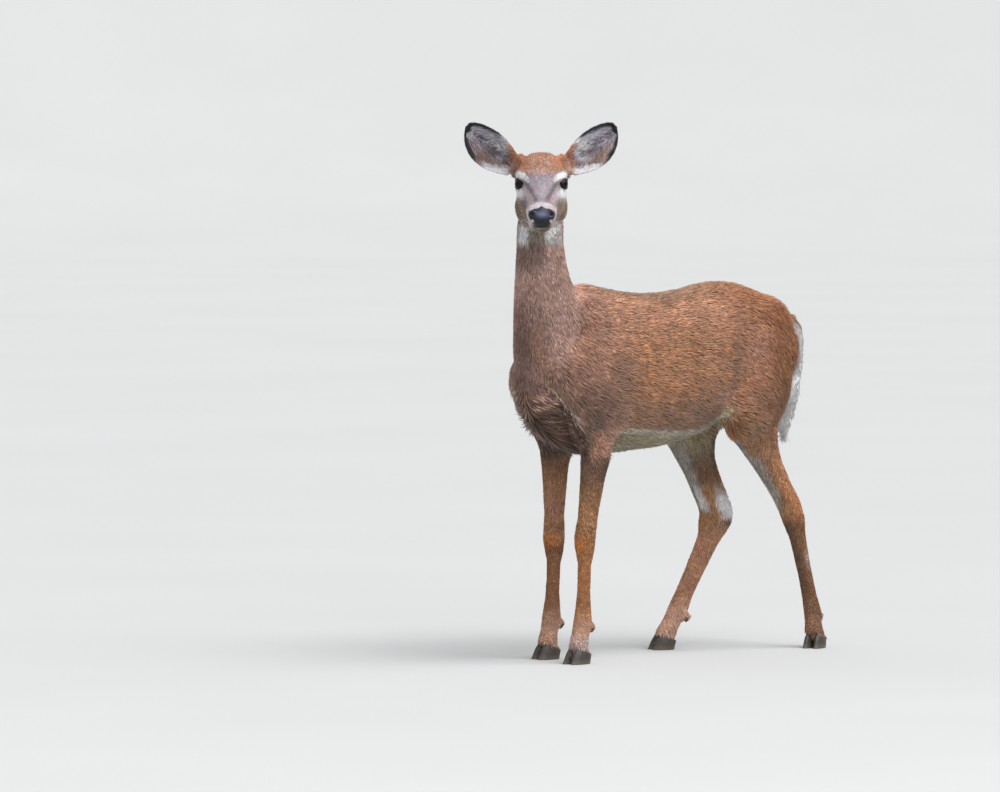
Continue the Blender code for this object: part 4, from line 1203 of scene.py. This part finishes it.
def tuft_mesh(name, g, ahead, sizes, bend, colours, maps):
    """Closed six-cornered tufts that rise from the skin and lie along it."""
    points, normals = g.points, g.normals
    length, width, height = (size[:, None] for size in sizes)
    across = np.cross(ahead, normals)
    bend = bend[:, None]
    root = points - normals * ROOT_DEPTH
    mid = points + ahead * length * 0.42 + normals * height * 0.42 + across * bend * length * 0.35
    tip = points + ahead * length + normals * height + across * bend * length
    corners = np.stack([
        root - across * width * 0.30, root + across * width * 0.30,
        mid - across * width * 0.50, mid + across * width * 0.50,
        mid + normals * width * 0.34, tip,
    ], axis=1)
    first = np.arange(len(points))[:, None, None] * corners.shape[1]
    mesh = bpy.data.meshes.new(name)
    mesh.from_pydata(corners.reshape(-1, 3), [], (TUFT_FACES[None] + first).reshape(-1, 3))
    mesh.shade_smooth()
    add_colour(mesh, colours.reshape(-1, 3))
    square = np.clip(maps, PATCH / 2, 1 - PATCH / 2)[:, None] + TUFT_MAP[None] * PATCH
    corner = rows_of(mesh.loops, "vertex_index", 1, np.int64)[:, 0]
    layer = mesh.uv_layers.new(name="OFBake")
    layer.uv.foreach_set("vector", square.reshape(-1, 2)[corner].ravel())
    return link(name, mesh)


def shaded(colour, g, rng):
    """Six colours a tuft: darker at the root, paler at the tip, each tuft a little its own."""
    count = len(colour)
    own = np.exp(rng.normal(0, 0.24, count)) * (0.80 + 0.40 * noise(g.points, 9 * MM, 2))
    own = own * (0.80 + 0.40 * noise(g.points * (1, 0.35, 1), 5 * MM, 5))
    own = own * (1 + g.share["head"] * 0.5 * (noise(g.points, 3.2 * MM, 12) - 0.5))
    own = own * np.exp(rng.normal(0, 0.35, count) * (g.share["ear"] * g.ear_inside))
    chest = g.share["trunk"] * ramp(-0.16, -0.22, g.y) * ramp(0.60, 0.55, g.z)
    chest = chest * ramp(4 * MM, -4 * MM, g.ridge)
    own = own * np.exp(np.abs(rng.normal(0, 0.40, count)) * chest)
    locks = noise(g.points * (0.25, 1, 2.4), 9 * MM, 14) - 0.5
    own = own * np.exp(2.2 * locks * chest)
    warm = 1 + rng.normal(0, 0.035, count)[:, None] * np.array((1.0, 0.0, -1.0))
    pale = ramp(0.35, 0.75, colour.mean(axis=1))[:, None]  # white hair is nearly as pale at its root
    shades = np.array(TUFT_SHADES) * (1 - 0.7 * pale) + 0.7 * pale
    own = own ** (1 - 0.6 * pale[:, 0])
    tufts = colour[:, None] * (own[:, None] * warm)[:, None] * shades[:, :, None]
    return np.minimum(tufts, PALEST)


def make_coat(skin, name, part, side, rng):
    """One coat: tufts sown over a part of the skin, swayed in locks and each a little its own."""
    g, flow, maps = sown(skin, part, side, rng)
    count = len(g.points)
    length, width, height = tuft_sizes(g)
    length = length * rng.uniform(0.75, 1.2, count)
    height = height * rng.uniform(0.55, 1.1, count)
    sway = (noise(g.points, 26 * MM, 6) - 0.5) * 0.5 + (noise(g.points, 11 * MM, 7) - 0.5) * 0.4
    angle = (sway + rng.normal(0, 0.11, count))[:, None]
    ahead = level(flow, g.normals)
    ahead = ahead * np.cos(angle) + np.cross(ahead, g.normals) * np.sin(angle)
    bend = rng.normal(0, 0.06, count)
    colours = shaded(markings(g), g, rng)
    return tuft_mesh(name, g, ahead, (length, width, height), bend, colours, maps)


# ---- Eyes and claws ----
def make_eye(side):
    """An eyeball with its cornea's bulge, looking the way the lids open."""
    look = eye_axes(side)[0]
    bpy.ops.mesh.primitive_uv_sphere_add(segments=72, ring_count=48, radius=EYE_RADIUS)
    eye = bpy.context.object
    eye.name = f"eyeball_{SIDES[side]}"
    mesh = eye.data
    turn = np.stack([np.cross(HEAD_UP, look), HEAD_UP, look], axis=1)
    local = points_of(mesh)
    angle = np.arctan2(np.hypot(local[:, 0], local[:, 1]), local[:, 2])
    bulge = 1 + 0.06 * ramp(radians(50), radians(8), angle)
    set_points(mesh, (local * bulge[:, None]) @ turn.T + EYES[side])
    add_attribute(mesh, "gaze", "FLOAT_VECTOR", "vector", local / EYE_RADIUS)
    mesh.shade_smooth()
    return eye


RING_GAP = 3.1 * MM  # between the growth rings of a claw
FLOOR_GAP = 0.0001  # under the soles


def make_claw(node):
    """A hoof half or a dewclaw, with the rings it grows in."""
    claw = flesh_copy(node)
    small = node.startswith("dewclaw")
    apply_modifier(claw, "REMESH", mode="VOXEL", voxel_size=(0.7 if small else 1.0) * MM)
    mesh = claw.data
    points = relaxed(points_of(mesh), edges_of(mesh), 5 if small else 7)
    set_points(mesh, points)
    sides = 1 - np.abs(normals_of(mesh)[:, 2])
    low, high = points.min(axis=0), points.max(axis=0)
    share = (points[:, 2] - low[2]) / (high[2] - low[2])
    centre = (low + high) / 2
    taper = 1 - 0.20 * ramp(0.55, 1.0, share)
    if small:
        taper = 1 - 0.45 * ramp(0.42, 0.80, share) - 0.25 * ramp(0.40, 0.0, share)
    points[:, :2] = centre[:2] + (points[:, :2] - centre[:2]) * taper[:, None]
    if not small:
        heel = ramp(centre[1] - 8 * MM, high[1], points[:, 1])
        points[:, 2] -= (points[:, 2] - low[2]) * HEEL_DROP * heel * ramp(0.3, 0.9, share)
    slope = points[:, 2] + 0.35 * points[:, 1]
    rings = np.sin(slope * 2 * pi / RING_GAP) * 0.16 + (noise(points, 5 * MM, 4) - 0.5) * 0.5
    points = points + normals_of(mesh) * (rings * sides * MM - TOUCH / 2)[:, None]
    points[:, 2] = np.maximum(points[:, 2], FLOOR_GAP)
    set_points(mesh, points)
    return claw


def make_claws(leg):
    """The two hoof halves and two dewclaws of a foot, and the nodes they stand for."""
    nodes = [n for n in NODES if n.startswith(("hoof", "dewclaw")) and leg in n]
    foot = joined(f"claws_{leg}", [make_claw(n) for n in nodes])
    apply_modifier(foot, "DECIMATE", ratio=0.5)
    foot.data.shade_smooth()
    return foot, nodes


# ---- Materials ----
# Pattern scales, in features a metre. Hair and horn fibres are far finer than this in life and
# are drawn as coarse as they need to be to show.
SHORT_HAIR = 700.0  # strands 1.4 mm apart
GUARD_HAIR = 1100.0  # streaks 0.9 mm apart along the tufts
PEBBLES = 750.0  # the nose leather's bumps, 1.3 mm apart
HORN_STAINS = 120.0  # 8 mm across
HORN_FIBRES = 900.0  # 1.1 mm apart, drawn out up the claw
IRIS_RAYS = 26.0  # to the eyeball's radius, so 0.6 mm apart
PAINT_MOTTLE = 1.2  # 0.8 m across


def node(tree, kind, inputs=None, **settings):
    """Adds a shader node with its settings, and fills or links its inputs."""
    made = tree.nodes.new("ShaderNode" + kind)
    for key, value in settings.items():
        setattr(made, key, value)
    for key, value in (inputs or {}).items():
        if isinstance(value, bpy.types.NodeSocket):
            tree.links.new(value, made.inputs[key])
        else:
            made.inputs[key].default_value = value
    return made


def new_material(name):
    """An empty material, its node tree and its object coordinates in metres."""
    material = bpy.data.materials.new(name)
    material.use_nodes = True
    tree = material.node_tree
    tree.nodes.clear()
    return material, tree, node(tree, "TexCoord").outputs["Object"]


def finished(tree, inputs):
    """Closes a tree with its shader and output."""
    shader = node(tree, "BsdfPrincipled", inputs)
    node(tree, "OutputMaterial", {"Surface": shader.outputs["BSDF"]})


def rgba(code):
    return (*linear(code), 1.0)


def hide_material():
    """Deer skin under short hair, and where bare the wet, pebbled leather of the nose."""
    material, tree, place = new_material("deer hide with short hair")
    colour = node(tree, "Attribute", attribute_name="coat_colour").outputs["Color"]
    naked = node(tree, "Attribute", attribute_name="bare").outputs["Fac"]
    strands = node(tree, "TexNoise", {"Vector": place, "Scale": SHORT_HAIR, "Detail": 3.0}).outputs["Fac"]
    under = node(tree, "MapRange", {"Value": strands, "To Min": 0.62, "To Max": 1.0}).outputs["Result"]
    mixed = node(tree, "Mix", {"Factor": naked, "A": under, "B": 1.0}).outputs["Result"]
    shade = node(tree, "VectorMath", {0: colour, "Scale": mixed}, operation="SCALE")
    pebbles = node(tree, "TexVoronoi", {"Vector": place, "Scale": PEBBLES, "Randomness": 0.9})
    grain = node(tree, "Mix", {"Factor": naked, "A": strands, "B": pebbles.outputs["Distance"]})
    bump = node(tree, "Bump", {
        "Height": grain.outputs["Result"], "Strength": 0.55, "Distance": 0.5 * MM,
    })
    rough = node(tree, "MapRange", {"Value": naked, "To Min": 0.85, "To Max": 0.24})
    finished(tree, {
        "Base Color": shade.outputs["Vector"], "Roughness": rough.outputs["Result"],
        "Normal": bump.outputs["Normal"], "Specular IOR Level": 0.28,
    })
    return material


def hair_material(name, roughness, sheen):
    """Guard hair as solid tufts: matt and finely streaked, with a soft sheen where it turns away."""
    material, tree, place = new_material(name)
    colour = node(tree, "Attribute", attribute_name="coat_colour").outputs["Color"]
    strands = node(tree, "TexNoise", {"Vector": place, "Scale": GUARD_HAIR, "Detail": 2.0}).outputs["Fac"]
    fine = node(tree, "MapRange", {"Value": strands, "To Min": 0.82, "To Max": 1.18}).outputs["Result"]
    shade = node(tree, "VectorMath", {0: colour, "Scale": fine}, operation="SCALE")
    rough = node(tree, "MapRange", {
        "Value": strands, "To Min": roughness - 0.08, "To Max": roughness + 0.08,
    })
    finished(tree, {
        "Base Color": shade.outputs["Vector"], "Roughness": rough.outputs["Result"],
        "Sheen Weight": sheen, "Sheen Roughness": 0.45, "Specular IOR Level": 0.22,
    })
    return material


def horn_material():
    """Keratin horn: nearly black, satin, with fine fibres and pale wear towards the sole."""
    material, tree, place = new_material("hoof horn")
    clouds = node(tree, "TexNoise", {"Vector": place, "Scale": HORN_STAINS, "Detail": 4.0})
    drawn = node(tree, "Mapping", {"Vector": place, "Scale": (1.0, 1.0, 0.12)}).outputs["Vector"]
    fibres = node(tree, "TexNoise", {"Vector": drawn, "Scale": HORN_FIBRES, "Detail": 2.0}).outputs["Fac"]
    height = node(tree, "SeparateXYZ", {"Vector": place})
    wear = node(tree, "MapRange", {
        "Value": height.outputs["Z"], "From Min": 0.012, "From Max": 0.0, "To Min": 0.0, "To Max": 0.55,
    })
    tone = node(tree, "Mix", {
        "Factor": clouds.outputs["Fac"], "A": rgba("#1f1b19"), "B": rgba("#4a3f37"),
    }, data_type="RGBA")
    worn = node(tree, "Mix", {
        "Factor": wear.outputs["Result"], "A": tone.outputs["Result"], "B": rgba("#6d5f50"),
    }, data_type="RGBA")
    rough = node(tree, "MapRange", {"Value": fibres, "To Min": 0.38, "To Max": 0.62})
    bump = node(tree, "Bump", {"Height": fibres, "Strength": 0.35, "Distance": 0.3 * MM})
    finished(tree, {
        "Base Color": worn.outputs["Result"], "Roughness": rough.outputs["Result"],
        "Normal": bump.outputs["Normal"],
    })
    return material


def eye_material():
    """A deer's eye: deep brown iris, wide dark pupil lying across, all under wet clear cornea."""
    material, tree, _ = new_material("wet eye")
    gaze = node(tree, "Attribute", attribute_name="gaze").outputs["Vector"]
    ahead = node(tree, "SeparateXYZ", {"Vector": gaze}).outputs["Z"]
    squeezed = node(tree, "Mapping", {"Vector": gaze, "Scale": (1.0, 1.75, 0.0)}).outputs["Vector"]
    reach = node(tree, "VectorMath", {0: squeezed}, operation="LENGTH").outputs["Value"]
    rays = node(tree, "TexNoise", {"Vector": gaze, "Scale": IRIS_RAYS, "Detail": 3.0})
    iris = node(tree, "Mix", {
        "Factor": rays.outputs["Fac"], "A": rgba("#0b0605"), "B": rgba("#24150d"),
    }, data_type="RGBA")
    pupil = node(tree, "MapRange", {"Value": reach, "From Min": 0.46, "From Max": 0.54})
    inner = node(tree, "Mix", {
        "Factor": pupil.outputs["Result"], "A": rgba("#050405"), "B": iris.outputs["Result"],
    }, data_type="RGBA")
    limbus = node(tree, "MapRange", {"Value": ahead, "From Min": 0.50, "From Max": 0.62})
    whole = node(tree, "Mix", {
        "Factor": limbus.outputs["Result"], "A": rgba("#120d0c"), "B": inner.outputs["Result"],
    }, data_type="RGBA")
    finished(tree, {
        "Base Color": whole.outputs["Result"], "Roughness": 0.22, "IOR": 1.38,
        "Specular IOR Level": 0.05, "Coat Weight": 0.7, "Coat Roughness": 0.03, "Coat IOR": 1.28,
    })
    return material


def floor_material():
    """Plain matt studio paint, faintly mottled."""
    material, tree, place = new_material("matt studio paint")
    mottle = node(tree, "TexNoise", {"Vector": place, "Scale": PAINT_MOTTLE, "Detail": 2.0})
    tone = node(tree, "Mix", {
        "Factor": mottle.outputs["Fac"], "A": rgba("#b8b8b7"), "B": rgba("#bebebd"),
    }, data_type="RGBA")
    finished(tree, {"Base Color": tone.outputs["Result"], "Roughness": 0.9})
    return material


# ---- Floor, light and camera ----
FLOOR_CORNERS = 96
COVE_STEPS = 12


def make_floor():
    """A pale floor whose far edge curves up all round."""
    flat, cove = 0.7 * GROUND_REACH, 0.3 * GROUND_REACH
    bpy.ops.mesh.primitive_circle_add(vertices=FLOOR_CORNERS, radius=flat)
    floor = bpy.context.object
    floor.name = "floor"
    open_mesh(floor)
    turns = [k / COVE_STEPS * pi / 2 for k in range(COVE_STEPS + 1)]
    for before, after in zip(turns, turns[1:]):
        rise = cove * (1 - cos(after)) - cove * (1 - cos(before))
        wider = (flat + cove * sin(after)) / (flat + cove * sin(before))
        bpy.ops.mesh.extrude_edges_move(TRANSFORM_OT_translate={"value": (0, 0, rise)})
        bpy.ops.transform.resize(value=(wider, wider, 1))
    bpy.ops.mesh.select_all(action="DESELECT")
    close_mesh()
    for vertex in floor.data.vertices[:FLOOR_CORNERS]:
        vertex.select = True
    bpy.ops.object.mode_set(mode="EDIT")
    bpy.ops.mesh.edge_face_add()
    bpy.ops.mesh.select_all(action="SELECT")
    bpy.ops.mesh.normals_make_consistent(inside=True)
    close_mesh()
    floor.data.shade_smooth()
    return floor


def add_lamp(name, lamp, facing):
    """Puts a lamp in the scene that shines the way it is facing."""
    obj = link(name, lamp)
    obj.rotation_euler = Vector(facing).to_track_quat("-Z", "Y").to_euler()
    return obj


def make_sun(name, direction, strength, spread):
    """An even light from a wide patch of sky."""
    lamp = bpy.data.lights.new(name, "SUN")
    lamp.energy, lamp.angle = strength, radians(spread)
    add_lamp(name, lamp, direction)


def make_softbox(name, place, target, size, power):
    """A square softbox that faces its target."""
    lamp = bpy.data.lights.new(name, "AREA")
    lamp.size, lamp.energy = size, power
    add_lamp(name, lamp, Vector(target) - Vector(place)).location = place


def make_camera():
    """A long lens from the deer's front left, framed as the driving sizes say."""
    turn, rise = radians(CAMERA_AZIMUTH), radians(CAMERA_ELEVATION)
    back = Vector((sin(turn) * cos(rise), -cos(turn) * cos(rise), sin(rise)))
    right = Vector((cos(turn), sin(turn), 0))
    aim = Vector(VIEW_ORIGIN) + right * VIEW_AIM[0] + back.cross(right) * VIEW_AIM[1]
    camera = bpy.data.cameras.new("camera")
    camera.sensor_width = SENSOR
    camera.lens = SENSOR * CAMERA_DISTANCE / VIEW_WIDTH
    camera.clip_end = 200
    obj = link("camera", camera)
    obj.location = aim + back * CAMERA_DISTANCE
    obj.rotation_euler = back.to_track_quat("Z", "Y").to_euler()
    bpy.context.scene.camera = obj


def set_world():
    """Even daylight from all sides."""
    world = bpy.data.worlds.new("studio")
    world.use_nodes = True
    back = world.node_tree.nodes["Background"]
    back.inputs["Color"].default_value = rgba("#f4f7fb")
    back.inputs["Strength"].default_value = 0.82
    bpy.context.scene.world = world
    bpy.context.scene.view_settings.view_transform = "Standard"


# ---- Assembly ----
def dress(obj, material):
    obj.data.materials.clear()
    obj.data.materials.append(material)


make_camera()
hide, horn, wet_eye = hide_material(), horn_material(), eye_material()
guard_hair = hair_material("deer guard hair", 0.62, 0.15)
tail_hair = hair_material("long tail hair", 0.68, 0.55)

skin_piece = make_skin()
skin = Skin(skin_piece.data)
add_colour(skin_piece.data, markings(skin.ground))
add_attribute(skin_piece.data, "bare", "FLOAT", "value", bare(skin.ground))
dress(skin_piece, hide)
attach(skin_piece, "root")
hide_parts(*FLESH)

rng = np.random.default_rng(SEED)
for name, (part, side) in COATS.items():
    coat = make_coat(skin, name, part, side, rng)
    dress(coat, tail_hair if part == "tail" else guard_hair)
    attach(coat, "root")

for side, word in SIDES.items():
    eye = make_eye(side)
    dress(eye, wet_eye)
    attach(eye, "root")
    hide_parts(f"eye_{word}")

for leg in ("foreleg_left", "foreleg_right", "hindleg_left", "hindleg_right"):
    claws, nodes = make_claws(leg)
    dress(claws, horn)
    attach(claws, "root")
    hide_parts(*nodes)

floor = make_floor()
dress(floor, floor_material())
make_sun("overhead light", (-0.62, -0.22, -1.10), 2.9, 45)
make_softbox("front softbox", (6.6, -2.4, 3.8), (0, 0, 0.6), 2.4, 110)
set_world()
